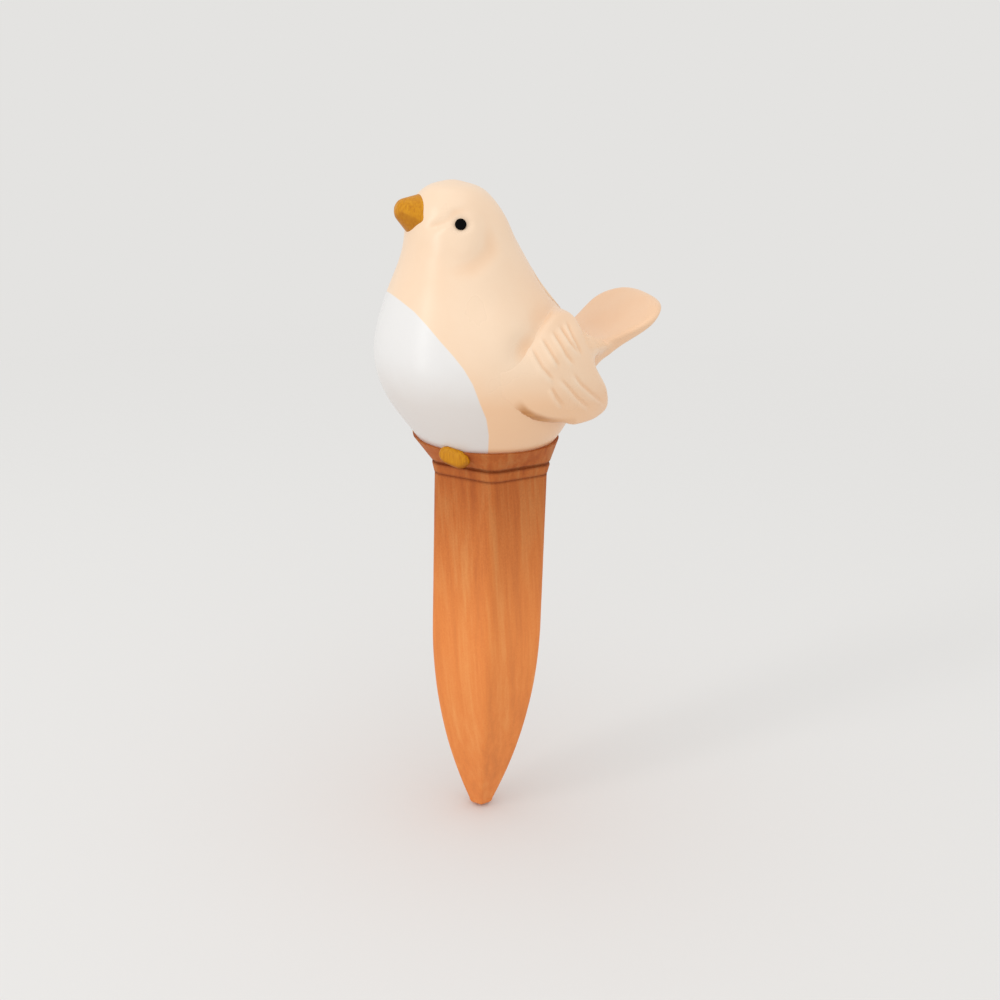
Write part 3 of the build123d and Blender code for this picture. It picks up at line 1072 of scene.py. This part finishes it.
@dataclass
class ClaySkin:
    """The one outer skin that bird, wings and tail share, as wet clay wiped over their joints leaves it."""

    voxel: float = 0.4
    reach: float = 7.0
    skin_passes: int = 4
    flat_passes: int = 24
    rim_swell: float = 0.7
    rim_passes: int = 10
    ridge_passes: int = 12
    merge_passes: int = 60
    root_passes: int = 110
    seam_width: Fade = (1.5, 4.0)
    root_width: Fade = (4.0, 7.5)
    overlap: float = 2.0
    sunk_from: float = 0.7
    sunk: float = 1.5
    lift: float = 0.015
    half_width: float = 27.0
    squeezed: float = 1.5
    bird_yield: float = 2.0
    bird_yield_from: float = 0.5
    trail: Crease = Crease((
        (14.2, -19.2, 42.7), (16.2, -20.7, 39.3), (18.5, -21.5, 35.3), (20.2, -21.5, 31.2),
        (21.0, -21.2, 29.0)), 8.0, 1.0)
    fillet: tuple[Point, ...] = (
        (13.9, -21.3, 39.9), (15.1, -21.9, 37.9), (16.5, -22.1, 35.8), (17.6, -22.2, 33.8),
        (18.4, -22.2, 32.0), (17.0, -14.0, 40.0), (19.0, -12.0, 31.5), (23.5, -10.0, 34.4),
        (27.0, -9.9, 35.2), (28.4, -11.8, 34.2), (28.0, -11.8, 33.0), (26.0, -11.4, 31.8))
    flat_faces: Fade = (0.75, 0.95)
    edge_faces: Fade = (0.35, 0.8)
    off_bird: Fade = (0.3, 1.2)
    on_wing: Fade = (0.0, 0.6)
    tail_joint_height: Fade = (28.0, 32.0)
    tail_joint_place: Fade = (10.0, 14.0)
    front_place: Fade = (-3.0, 2.0)
    front_height: Fade = (22.0, 25.0)
    ridge_height: Fade = (25.0, 30.0)
    root_height: Fade = (26.0, 30.0)
    eye_clear: Fade = (1.8, 3.0)
    hole_clear: Fade = (8.5, 10.0)

    def __post_init__(self) -> None:
        """Joins the pieces in one mesh, rounds their edges and fills the joints."""
        self.nodes = ["bird_shell", "left_wing", "right_wing", "tail"]
        meshes = [frame["nodes"][node].data for node in self.nodes]
        fillets = [hull_mesh([(x, -y * side.value, z) for x, y, z in self.fillet]) for side in Side]
        self.clay = ClayMesh.remeshed("clay_skin", meshes + fillets, self.voxel)
        self.clay.wipe(self.skin_passes)
        self.gaps = {node: gap_to(node, self.clay.points, self.reach) for node in self.nodes}
        flat = smooth_step(*self.flat_faces, np.abs(self.clay.normals[:, 1]))
        smooth = np.maximum(smooth_step(*LUTED_EDGE, self.luted()), flat)
        self.clay.wipe(self.flat_passes, smooth * self.off_details())
        self.round_rims()
        self.fill_joints()

    def round_rims(self) -> None:
        """Swells the wings' free rims a little and rubs them round, but not where the wings meet the tail."""
        off_bird = smooth_step(*self.off_bird, self.gaps["bird_shell"])
        for side in Side:
            x, _, z = self.clay.points.T
            free = off_bird * smooth_fall(*self.on_wing, self.gaps[side.word + "_wing"])
            free *= 1 - smooth_step(*self.tail_joint_height, z) * smooth_step(*self.tail_joint_place, x)
            edge_on = smooth_fall(*self.edge_faces, np.abs(self.clay.normals[:, 1]))
            self.clay.push(self.rim_swell * free * edge_on)
            self.clay.wipe(self.rim_passes, free)

    def fill_joints(self) -> None:
        """Wipes the wing's front into the body, softens its upper edge and fills in round the tail's root."""
        bird, left, right, tail = (self.gaps[node] for node in self.nodes)
        wing = np.minimum(left, right)
        x, _, z = self.clay.points.T
        at_seam = smooth_fall(*self.seam_width, np.maximum(wing, bird))
        in_front = smooth_fall(*self.front_place, x) * smooth_step(*self.front_height, z)
        self.clay.wipe(self.merge_passes, at_seam * in_front)
        self.clay.wipe(self.ridge_passes, at_seam * smooth_step(*self.ridge_height, z))
        at_root = smooth_fall(*self.root_width, np.maximum(wing, tail)) * smooth_step(*self.root_height, z)
        at_trail = self.trail.heights(left_side(self.clay.points))
        self.clay.wipe(self.root_passes, np.maximum(at_root, at_trail))
        self.clay.wipe(2 * self.ridge_passes, smooth_fall(*self.seam_width, np.maximum(tail, bird)))

    def off_details(self) -> Array:
        """1 away from the eyes' sockets and the fill hole, and 0 in them."""
        from_eye = distance_to(EYE_PLACE, left_side(self.clay.points))
        from_hole = distance_to(FILL_PLACE, self.clay.points)
        return smooth_step(*self.eye_clear, from_eye) * smooth_step(*self.hole_clear, from_hole)

    def luted(self) -> Array:
        """How far each vertex lay from the nearest luted piece."""
        return np.minimum.reduce([self.gaps[node] for node in self.nodes[1:]])

    def model(self, heights: Array) -> None:
        """Raises the skin by heights and keeps it within the bird's width.

        Args:
            heights: How far each vertex is raised.
        """
        self.clay.push(heights)
        y = self.clay.points[:, 1]
        inner = self.half_width - self.squeezed
        over = np.maximum(np.abs(y) - inner, 0.0)
        kept = np.minimum(np.abs(y), inner) + self.squeezed * np.tanh(over / self.squeezed)
        self.clay.points[:, 1] = np.sign(y) * kept
        self.clay.write()

    def cut(self, node: str, name: str) -> ClayMesh:
        """Cuts one luted piece out of the skin, a little over its edge, with the edge sunk out of sight.

        Args:
            node: The CAD node that the piece stands for.
            name: The piece's name.

        Returns:
            The piece as a closed mesh.
        """
        gaps = dict(self.gaps)
        bird = gaps["bird_shell"]
        gaps["bird_shell"] = bird + self.bird_yield * np.maximum(bird - self.bird_yield_from, 0.0)
        others = np.minimum.reduce([gaps[other] for other in self.nodes if other != node])
        past_edge = gaps[node] - others
        flat = self.clay.points
        lift = self.lift * (1 + self.nodes.index(node))
        self.clay.push(lift - self.sunk * smooth_step(self.sunk_from, self.overlap, past_edge))
        piece = self.clay.patch(name, past_edge < self.overlap)
        self.clay.points = flat
        self.clay.write()
        return piece

    def drop(self) -> None:
        """Removes the shared skin once every piece is cut from it."""
        bpy.data.objects.remove(self.clay.object)


@dataclass
class Bird:
    """The hollow bird: remeshed from its solid, laid on the shared skin, with its paint laid out."""

    voxel: float = 0.56
    axis_rows: Line = (
        (2.5, -1.3), (20.0, -2.7), (30.0, -3.9), (40.0, -5.5), (50.0, -7.9), (59.0, -9.3), (70.0, -11.5))
    bib_edge: Line = (
        (6.0, -7.0), (9.0, -7.0), (14.3, -8.0), (19.2, -9.5), (23.3, -11.5), (28.4, -13.6),
        (32.1, -15.7), (35.1, -17.9), (38.3, -20.5), (41.5, -22.8), (44.5, -25.1), (46.4, -27.2),
        (48.0, -29.0), (52.0, -33.5))
    dents: tuple[Dent, ...] = (
        Dent((-14.0, -12.0, 62.0), 9.5, 0.8),
        Dent((-0.6, -7.0, 66.0), 8.0, 0.7),
        Dent((-5.3, -23.4, 40.2), 10.0, 0.7),
        Dent((-0.6, -24.3, 36.6), 6.0, -0.9),
    )
    creases: tuple[Crease, ...] = (
        Crease(((-21.1, -7.8, 63.8), (-18.1, -10.1, 65.3), (-16.2, -10.8, 66.5), (-14.6, -10.7, 68.1),
                (-11.5, -10.9, 68.4)), 1.9, -0.6),
        Crease(((-16.5, -13.6, 57.0), (-14.3, -14.6, 55.7), (-11.5, -15.3, 55.8), (-9.5, -15.0, 57.2),
                (-6.5, -13.9, 59.7), (-6.4, -12.0, 65.0)), 4.2, -0.5),
        Crease(((-1.7, -24.6, 36.6), (1.3, -23.2, 38.7), (3.7, -20.0, 42.9), (8.0, -17.0, 45.5)), 3.6, -0.25),
    )
    fill_radius: float = 9.3
    even_passes: int = 8
    eye_clear: Fade = (1.9, 2.8)
    eye_passes: int = 30
    above_cup: Fade = (9.0, 11.0)
    in_cup: Fade = (4.0, 6.5)
    hidden_inset: float = 0.7
    luted_from: float = 0.3
    luted_reach: float = 2.0
    off_luted: Fade = (0.1, 2.0)
    luted_inset: float = 0.1
    # How much painted shade lies in the modelled hollows and creases
    hollow_shade: float = 0.75
    spigot_top: float = 2.6
    crown: float = 73.0
    cavity_reach: float = 12.0
    cavity_start: float = 0.7
    facing_in: float = 0.2
    bib_top: float = 60.0
    bib_steps: int = 241

    def heights(self, points: Array) -> Array:
        """How far the face and the flanks are modelled up or down."""
        left = left_side(points)
        total = np.sum([item.heights(left) for item in self.dents + self.creases], axis=0)
        return total * smooth_step(*self.eye_clear, distance_to(EYE_PLACE, left))

    def shape(self, skin: ClaySkin) -> None:
        """Models the face and the flanks on the shared skin.

        Args:
            skin: The shared skin.
        """
        heights = self.heights(skin.clay.points)
        skin.model(heights * self.outside(skin.clay) * smooth_step(*self.off_luted, skin.luted()))

    def build(self, skin: ClaySkin, finish: bpy.types.Material) -> None:
        """Lays the bird on the shared skin and lays out its paint.

        Args:
            skin: The shared skin, already modelled.
            finish: The painted clay.
        """
        clay = ClayMesh.remeshed("clay_bird", [frame["nodes"]["bird_shell"].data], self.voxel)
        outside = self.outside(clay)
        off_hole = distance_to(FILL_PLACE, clay.points) > self.fill_radius
        from_eye = distance_to(EYE_PLACE, left_side(clay.points))
        outside[from_eye < self.eye_clear[1]] = 1.0
        modelled = self.heights(clay.points)
        luted = np.minimum.reduce([gap_to(node, clay.points, self.luted_reach) for node in skin.nodes[1:]])
        laid = (outside > 0) & (luted > self.luted_from) & (from_eye > self.eye_clear[0]) & off_hole
        tree = skin.clay.tree()
        for _ in range(2):
            clay.wipe(self.even_passes, outside * off_hole * smooth_step(*self.above_cup, clay.points[:, 2]))
            for i in np.flatnonzero(laid):
                clay.points[i] = np.array(tree.find_nearest(Vector(clay.points[i] * MM))[0]) / MM
            clay.write()
        shown = outside * smooth_step(*LUTED_EDGE, luted) * smooth_step(*self.above_cup, clay.points[:, 2])
        clay.wipe(self.even_passes // 2, shown)
        clay.wipe(self.eye_passes, smooth_fall(*self.eye_clear, from_eye))
        hidden = outside * smooth_fall(*self.in_cup, clay.points[:, 2])
        clay.push(-self.luted_inset * (luted <= self.luted_from) - self.hidden_inset * hidden)
        clay.store("bib_mm", self.inside_bib(clay.points))
        clay.store("bare", (1.0 - outside) * off_hole)
        # Painted shade: low on the body, on the back and in the modelled hollows and creases
        clay.store("warm", painted_shade_by_place(clay.points) + self.hollow_shade * np.clip(-modelled, 0.0, 1.0))
        clay.finish("bird_shell", finish, "painted_clay")

    def inside_bib(self, points: Array) -> Array:
        """How far points lie inside the bib's edge, measured square to it.

        Args:
            points: Points on the bird.

        Returns:
            The distances, below 0 outside the bib.
        """
        x, _, z = points.T
        heights, edges = np.array(self.bib_edge).T
        fine = np.linspace(0.0, self.bib_top, self.bib_steps)
        slope = np.gradient(np.interp(fine, heights, edges), fine)
        return (np.interp(z, heights, edges) - x) / np.sqrt(1 + np.interp(z, fine, slope) ** 2)

    def outside(self, clay: ClayMesh) -> Array:
        """Tells the bird's outer skin from its hollow.

        Args:
            clay: A mesh that holds the bird's wall.

        Returns:
            1 for a vertex on the outer skin and 0 for one inside.
        """
        tree = clay.tree()
        z = clay.points[:, 2]
        heights, centres = np.array(self.axis_rows).T
        away = clay.points - np.stack([np.interp(z, heights, centres), np.zeros(len(z)), z], 1)
        away /= np.maximum(np.linalg.norm(away, axis=1), 1e-6)[:, None]
        inward = np.einsum("ij,ij->i", away, clay.normals) < self.facing_in
        result = np.ones(len(z))
        for i in np.flatnonzero(inward):
            start = Vector((clay.points[i] + away[i] * self.cavity_start) * MM)
            if tree.ray_cast(start, Vector(away[i]), self.cavity_reach * MM)[0] is not None:
                result[i] = 0.0
        result[z < self.spigot_top] = 0.0
        result[z > self.crown] = 1.0
        return result


@dataclass
class Wing:
    """A pressed wing with two rows of feathers, each a soft crest with a groove behind it along a line."""

    side: Side
    crest: float = 0.22
    crest_place: float = -0.55
    crest_width: float = 0.65
    groove: float = 0.3
    groove_place: float = 0.3
    groove_width: float = 0.45
    feathers: tuple[Line, ...] = (
        ((1.2, 37.2), (2.6, 34.0), (3.6, 32.1), (7.2, 28.2)),
        ((4.2, 39.2), (6.1, 35.5), (8.4, 31.6)),
        ((7.3, 40.8), (9.5, 36.4), (10.3, 34.8), (13.0, 31.6)),
        ((9.6, 41.8), (11.9, 37.5), (14.8, 34.0)),
        ((12.0, 42.6), (13.0, 38.6), (15.4, 33.6)),
        ((11.4, 31.0), (14.8, 27.0), (18.3, 24.2), (23.0, 20.8), (26.0, 18.6)),
        ((7.8, 29.8), (11.2, 26.4), (14.1, 23.4), (17.5, 20.8), (20.0, 18.8)),
        ((5.8, 27.4), (7.8, 24.2), (10.4, 21.2)),
    )
    front_edge: Line = ((-7.0, 31.0), (0.5, 35.0), (4.5, 40.0), (13.5, 44.3))
    front_drop: float = 1.4
    front_width: float = 6.0
    front_passes: int = 25
    lower_edge: Line = (
        (-3.4, 24.4), (-1.5, 21.4), (1.8, 19.0), (6.7, 17.2), (11.0, 16.8), (15.5, 17.0))
    undercut: float = 1.3
    undercut_height: float = 2.2
    # Painted shade along the undercut lower edge, in the colour of bare clay
    undercut_shade_line: Line = (
        (-3.2, 24.3), (-0.2, 21.0), (2.6, 19.3), (5.9, 18.0), (9.5, 17.3), (14.0, 16.9))
    undercut_shade_width: Fade = (0.3, 1.7)
    heel: Line = ((15.5, 17.0), (20.0, 17.2), (26.0, 19.0))
    heel_drop: float = 1.1
    heel_reach: float = 5.0
    refine_passes: int = 6
    # How strong the painted shade in the undercut is
    shade_strength: float = 0.9
    # Painted shade in the feather grooves and painted highlight on their crests
    groove_shade: float = 0.4
    crest_highlight: float = 0.3
    on_wing: Fade = (0.2, 1.0)
    near_wing: Fade = (0.2, 2.0)
    off_bird: Fade = (0.4, 2.0)
    front_start: Fade = (0.1, 0.5)
    outer_faces: Fade = (0.2, 0.6)
    flank: float = 8.0

    @property
    def node(self) -> str:
        """The CAD node of this wing."""
        return self.side.word + "_wing"

    def shape(self, skin: ClaySkin) -> None:
        """Models the soft front edge, the undercut lower edge and the heel on the shared skin.

        Args:
            skin: The shared skin.
        """
        clay = skin.clay
        mine = smooth_fall(*self.on_wing, skin.gaps[self.node])
        flat = clay.points[:, [0, 2]]
        distance, passed, _ = to_polyline(flat, self.front_edge)
        fading = smooth_fall(0.0, self.front_width, distance) * smooth_step(*self.front_start, passed)
        near = smooth_fall(*self.near_wing, skin.gaps[self.node])
        clay.points[:, 1] -= self.front_drop * self.side.value * fading * near
        clay.write()
        clay.wipe(self.front_passes, fading * (clay.points[:, 1] * self.side.value > self.flank))
        distance, passed, _ = to_polyline(flat, self.lower_edge)
        ends = smooth_step(0.0, 0.3, passed) * smooth_fall(0.5, 0.9, passed)
        tucked = self.undercut * ends * smooth_fall(0.0, self.undercut_height, distance) * mine
        tucked = tucked * smooth_step(*self.off_bird, skin.gaps["bird_shell"])
        clay.points[:, 1] -= tucked * self.side.value
        distance, _, _ = to_polyline(flat, self.heel)
        clay.points[:, 2] -= self.heel_drop * smooth_fall(0.0, self.heel_reach, distance) * mine
        clay.write()

    def build(self, skin: ClaySkin, finish: bpy.types.Material) -> None:
        """Cuts the wing from the modelled skin and models its feathers, with a painted shade in its undercut
        and in its feather grooves and a painted highlight on their crests.

        Args:
            skin: The shared skin.
            finish: The painted clay.
        """
        clay = skin.cut(self.node, self.side.word + "_clay_wing")
        clay.refine(self.refine_passes)
        flat = clay.points[:, [0, 2]]
        crest, groove = np.zeros(len(flat)), np.zeros(len(flat))
        for line in self.feathers:
            distance, passed, side = to_polyline(flat, line)
            fade = smooth_step(0.0, 0.2, passed) * smooth_fall(0.75, 1.0, passed)
            across = distance * side
            crest = np.maximum(crest, fade * bell(across, self.crest_place, self.crest_width))
            groove = np.maximum(groove, fade * bell(across, self.groove_place, self.groove_width))
        outward = smooth_step(*self.outer_faces, clay.normals[:, 1] * self.side.value)
        clay.push((self.crest * crest - self.groove * groove) * outward)
        # Painted shade in the undercut: the colour of bare clay along the lower edge
        distance, passed, _ = to_polyline(flat, self.undercut_shade_line)
        ends = smooth_step(0.0, 0.25, passed) * (1 - 0.8 * smooth_step(0.5, 1.0, passed))
        clay.store("bib_mm", NO_BIB)
        clay.store("bare", self.shade_strength * ends * smooth_fall(*self.undercut_shade_width, distance))
        # Painted shade in the feather grooves and painted highlight on their crests
        shade = self.groove_shade * groove - self.crest_highlight * crest
        clay.store("warm", painted_shade_by_place(clay.points) + shade * outward)
        clay.finish(self.node, finish, "painted_clay")


@dataclass
class Tail:
    """The luted tail paddle, whose top face leans to the bird's left."""

    node: str = "tail"
    root: Point = (18.5, 0.0, 29.3)
    rise_degrees: float = 32.5
    thickness: float = 4.2
    half_width: float = 15.6
    lean: float = 2.0
    under_rise: float = 0.7
    lean_from: float = 3.0
    lean_to: float = 14.0
    on_tail: Fade = (0.3, 1.5)

    def shape(self, skin: ClaySkin) -> None:
        """Lowers the top face and lifts the lower one on the bird's left, so that the rim there is thin.

        Args:
            skin: The shared skin.
        """
        rise = math.radians(self.rise_degrees)
        from_root = skin.clay.points - np.array(self.root)
        along = from_root @ np.array([math.cos(rise), 0.0, math.sin(rise)])
        height = from_root @ np.array([-math.sin(rise), 0.0, math.cos(rise)])
        share = np.clip(height / self.thickness + 0.5, 0.0, 1.0)
        leaning = np.clip(0.5 - skin.clay.points[:, 1] / (2 * self.half_width), 0.0, 1.0)
        mine = smooth_fall(*self.on_tail, skin.gaps[self.node])
        drop = (self.lean * share - self.under_rise * (1 - share)) * leaning * mine
        drop *= smooth_step(self.lean_from, self.lean_to, along)
        skin.clay.points[:, 2] -= drop / math.cos(rise)
        skin.clay.write()

    def build(self, skin: ClaySkin, finish: bpy.types.Material) -> None:
        """Cuts the tail from the modelled skin.

        Args:
            skin: The shared skin.
            finish: The painted clay.
        """
        clay = skin.cut(self.node, "clay_tail")
        clay.store("bib_mm", NO_BIB)
        clay.store("bare", 0.0)
        # Painted shade, darker and warmer out on the tail
        clay.store("warm", painted_shade_by_place(clay.points))
        clay.finish(self.node, finish, "painted_clay")


@dataclass
class Beak:
    """The beak: a blunt cone with a ridge along each side, set in the clay of the head."""

    base: tuple[float, float] = (-17.2, 65.6)
    rise_degrees: float = 17.0
    length: float = 9.9
    half_height: float = 7.7
    half_width: float = 9.0
    tip_radius: float = 1.8
    tip_round: float = 1.2
    buried_from: float = 3.0
    chin: float = 0.9
    ridge: float = 0.5
    ridge_degrees: float = -12.0
    ridge_spread_degrees: float = 16.0
    rings: int = 40
    columns: int = 96
    # How strong the painted shade is on the faces that look down
    shade_strength: float = 0.45
    lower_faces: Fade = (-0.05, 0.35)

    def radius_at(self, along: float) -> float:
        """The share of the base's size that is left at a distance from the base, with a round tip.

        Args:
            along: The distance from the base.

        Returns:
            The share, from 0 to 1.
        """
        shrink = 1 - (1 - self.tip_radius / self.half_height) * along / self.length
        into_round = along - (self.length - self.tip_round)
        if into_round > 0:
            left = math.sqrt(max(self.tip_round ** 2 - into_round ** 2, 0.0)) / self.tip_round
            shrink -= (1 - left) * self.tip_round / self.half_height
        return shrink

    def section(self, along: float) -> list[Point]:
        """One ring of the beak.

        Args:
            along: Its distance from the base.

        Returns:
            The ring's points.
        """
        rise = math.radians(self.rise_degrees)
        ahead = np.array([-math.cos(rise), 0.0, math.sin(rise)])
        up = np.array([math.sin(rise), 0.0, math.cos(rise)])
        centre = np.array([self.base[0], 0.0, self.base[1]]) + ahead * along
        keep = self.radius_at(along)
        points = []
        for column in range(self.columns):
            angle = math.tau * column / self.columns
            off_side = math.degrees(math.asin(math.sin(angle))) - self.ridge_degrees
            ridge = self.ridge * math.exp(-(off_side / self.ridge_spread_degrees) ** 2) * min(keep * 2, 1)
            across = (self.half_width * keep + ridge) * math.cos(angle)
            tall = self.half_height * keep * math.sin(angle)
            if tall < 0:
                tall -= self.chin * keep * math.sin(angle) ** 2
            points.append(tuple(centre + np.array([0.0, across, 0.0]) + up * tall))
        return points

    def build(self, finish: bpy.types.Material) -> None:
        """Skins the rings and closes both ends.

        Args:
            finish: The gold paint.
        """
        span = self.length - self.buried_from
        shares = [math.sin(math.pi / 2 * i / self.rings) for i in range(self.rings + 1)]
        places = [self.buried_from + span * share for share in shares]
        work = bmesh.new()
        rings = [[work.verts.new(Vector(p) * MM) for p in self.section(along)] for along in places]
        for near, far in zip(rings, rings[1:]):
            for i in range(self.columns):
                j = (i + 1) % self.columns
                work.faces.new((near[i], near[j], far[j], far[i]))
        work.faces.new(rings[0])
        work.faces.new(rings[-1])
        clay = ClayMesh("gold_beak", to_closed_mesh(work, "gold_beak"))
        # Painted shade: the gold turns brown on the faces that look down
        clay.store("under", self.shade_strength * smooth_step(*self.lower_faces, -clay.normals[:, 2]))
        clay.finish("beak", finish, "gold_paint")


@dataclass
class Foot:
    """A gold bean pressed on the cup, copied from its solid, trimmed to an oval and rubbed round."""

    side: Side
    voxel: float = 0.2
    swell: float = 0.35
    roundness: float = 2.0
    lower_half: float = 0.78
    passes: int = 30
    lower_faces: Fade = (-0.1, 0.6)

    def build(self, finish: bpy.types.Material) -> None:
        """Softens the bean and dresses it.

        Args:
            finish: The gold paint.
        """
        node = self.side.word + "_foot"
        clay = ClayMesh.remeshed(self.side.word + "_gold_foot", [frame["nodes"][node].data], self.voxel)
        clay.push(np.full(len(clay.points), self.swell))
        centre = (clay.points.min(0) + clay.points.max(0)) / 2
        axes = np.linalg.svd(clay.points - clay.points.mean(0), full_matrices=False)[2]
        local = (clay.points - centre) @ axes.T
        reach = np.abs(local[:, :2]).max(0)
        past = np.sum((np.abs(local[:, :2]) / reach) ** self.roundness, axis=1) ** (1 / self.roundness)
        local[:, :2] /= np.maximum(past, 1.0)[:, None]
        below = local[:, 1] * axes[1, 2] < 0
        local[below, 1] *= self.lower_half
        clay.points = centre + local @ axes
        clay.write()
        clay.wipe(self.passes)
        # Painted shade: the gold turns brown on the faces that look down
        clay.store("under", smooth_step(*self.lower_faces, -clay.normals[:, 2]))
        clay.finish(node, finish, "gold_paint")


@dataclass(frozen=True)
class SoftBox:
    """One rectangular lamp: its place and target, its size in metres and its power in watts."""

    name: str
    place: Point
    target: Point
    size: tuple[float, float]
    power: float

    def build(self) -> None:
        """Hangs the lamp and turns it to its target."""
        light = bpy.data.lights.new(self.name, "AREA")
        light.shape = "RECTANGLE"
        light.size, light.size_y = self.size
        light.energy = self.power
        lamp = new_object(self.name, light)
        lamp.location = Vector(self.place) * MM
        aim = Vector(self.target) - Vector(self.place)
        lamp.rotation_euler = aim.to_track_quat("-Z", "Y").to_euler()


@dataclass
class Studio:
    """The pale floor, the soft light and the camera."""

    paper: str = "#e4e3e1"
    room_light: float = 0.87
    lamps: tuple[SoftBox, ...] = (
        SoftBox("ceiling", (-200.0, -300.0, 2000.0), (0.0, 0.0, 0.0), (2.2, 2.2), 6.5),
        SoftBox("tall_left", (-900.0, -250.0, 260.0), (0.0, 0.0, 20.0), (0.14, 1.1), 1.9),
        SoftBox("front", (-350.0, -1000.0, 420.0), (0.0, 0.0, 0.0), (0.9, 0.9), 0.8),
    )
    floor_height: float = -104.45
    floor_radius: float = 1600.0
    floor_corners: int = 96
    floor_fade: Fade = (260.0, 900.0)
    camera_turn: float = 20.0
    camera_distance: float = 337.0
    camera_aside: float = 3.0
    camera_height: float = 102.0
    camera_pitch: float = 18.4
    camera_roll: float = 1.75
    lens: float = 46.8
    sensor: float = 36.0
    clip_start_metres: float = 0.01

    def build(self) -> None:
        """Sets up everything around the object."""
        self.floor()
        self.world()
        for lamp in self.lamps:
            lamp.build()
        self.camera()
        bpy.context.scene.view_settings.view_transform = "Standard"

    def paper_shader(self, tree: bpy.types.NodeTree) -> Socket:
        """The floor's paper, which gives way to the pale background far from the object.

        Args:
            tree: The floor's node tree.

        Returns:
            The shader.
        """
        place = add_node(tree, "ShaderNodeTexCoord").outputs["Object"]
        reach = add_node(tree, "ShaderNodeVectorMath", {0: place}, operation="LENGTH").outputs["Value"]
        near, far = self.floor_fade
        gone = add_node(tree, "ShaderNodeMapRange", {
            "Value": reach, "From Min": near * MM, "From Max": far * MM}, interpolation_type="SMOOTHSTEP")
        paper = add_node(tree, "ShaderNodeBsdfDiffuse", {"Color": linear(self.paper)})
        clear = add_node(tree, "ShaderNodeBsdfTransparent")
        return add_node(tree, "ShaderNodeMixShader", {
            0: gone.outputs[0], 1: paper.outputs[0], 2: clear.outputs[0]}).outputs[0]

    def floor(self) -> None:
        """A round sheet of paper under the spike's tip."""
        mesh = bpy.data.meshes.new("paper_floor")
        angles = [math.tau * i / self.floor_corners for i in range(self.floor_corners)]
        ring = [(self.floor_radius * MM * math.cos(angle), self.floor_radius * MM * math.sin(angle),
                 self.floor_height * MM) for angle in angles]
        mesh.from_pydata(ring, [], [list(range(self.floor_corners))])
        floor = new_object("paper_floor", mesh)
        material = bpy.data.materials.new("studio_paper")
        material.use_nodes = True
        tree = material.node_tree
        tree.nodes.clear()
        add_node(tree, "ShaderNodeOutputMaterial", {"Surface": self.paper_shader(tree)})
        mesh.materials.append(material)

    def world(self) -> None:
        """Even light from all round, seen by the camera as pale paper."""
        world = bpy.data.worlds.new("studio")
        world.use_nodes = True
        tree = world.node_tree
        tree.nodes.clear()
        path = add_node(tree, "ShaderNodeLightPath").outputs
        seen = add_node(tree, "ShaderNodeMath", {
            0: path["Is Camera Ray"], 1: path["Is Glossy Ray"]}, operation="MAXIMUM")
        seen_or_through = add_node(tree, "ShaderNodeMath", {
            0: seen.outputs[0], 1: path["Is Transmission Ray"]}, operation="MAXIMUM")
        light = add_node(tree, "ShaderNodeBackground", {
            "Color": linear("#ffffff"), "Strength": self.room_light})
        shown = add_node(tree, "ShaderNodeBackground", {"Color": linear(self.paper), "Strength": 1.0})
        mixed = add_node(tree, "ShaderNodeMixShader", {
            0: seen_or_through.outputs[0], 1: light.outputs[0], 2: shown.outputs[0]})
        add_node(tree, "ShaderNodeOutputWorld", {"Surface": mixed.outputs[0]})
        bpy.context.scene.world = world

    def camera(self) -> None:
        """Places the camera a little in front of the bird's left side and above it."""
        turn, pitch, roll = (math.radians(a) for a in (self.camera_turn, self.camera_pitch, self.camera_roll))
        back = Vector((-math.sin(turn), -math.cos(turn), 0.0))
        right = Vector((math.cos(turn), -math.sin(turn), 0.0))
        upright = Vector((0.0, 0.0, 1.0))
        forward = -back * math.cos(pitch) - upright * math.sin(pitch)
        up = right.cross(forward)
        tilted_right = right * math.cos(roll) + up * math.sin(roll)
        tilted_up = up * math.cos(roll) - right * math.sin(roll)
        place = back * self.camera_distance + right * self.camera_aside + upright * self.camera_height
        data = bpy.data.cameras.new("camera")
        data.lens, data.sensor_width, data.clip_start = self.lens, self.sensor, self.clip_start_metres
        camera = new_object("camera", data)
        turned = Matrix((tilted_right, tilted_up, -forward)).transposed()
        camera.matrix_world = Matrix.Translation(place * MM) @ turned.to_4x4()
        bpy.context.scene.camera = camera


def dress_node(node: str, material: bpy.types.Material) -> None:
    """Gives a CAD node that stays as it is its better finish.

    Args:
        node: The node.
        material: Its finish.
    """
    slots = frame["nodes"][node].data.materials
    slots.clear()
    slots.append(material)
    LOG.info("%s: CAD node with %s", node, material.name)


def main() -> None:
    """Builds and dresses every piece, then the studio."""
    logging.basicConfig(level=logging.INFO, format="%(message)s")
    clay_paint = PaintedClay().material()
    gold = GoldPaint().material()
    Spike().build(Terracotta().material())
    skin = ClaySkin()
    clay_pieces = (Bird(), *(Wing(side) for side in Side), Tail())
    for piece in clay_pieces:
        piece.shape(skin)
    for piece in clay_pieces:
        piece.build(skin, clay_paint)
    skin.drop()
    for piece in (Beak(), *(Foot(side) for side in Side)):
        piece.build(gold)
    bead = BLACK_BEAD.material()
    for side in Side:
        dress_node(side.word + "_eye", bead)
    dress_node("bond_ring", CEMENT.material())
    dress_node("fill_stopper", STOPPER_RUBBER.material())
    Studio().build()


if __name__ == "__main__":
    main()
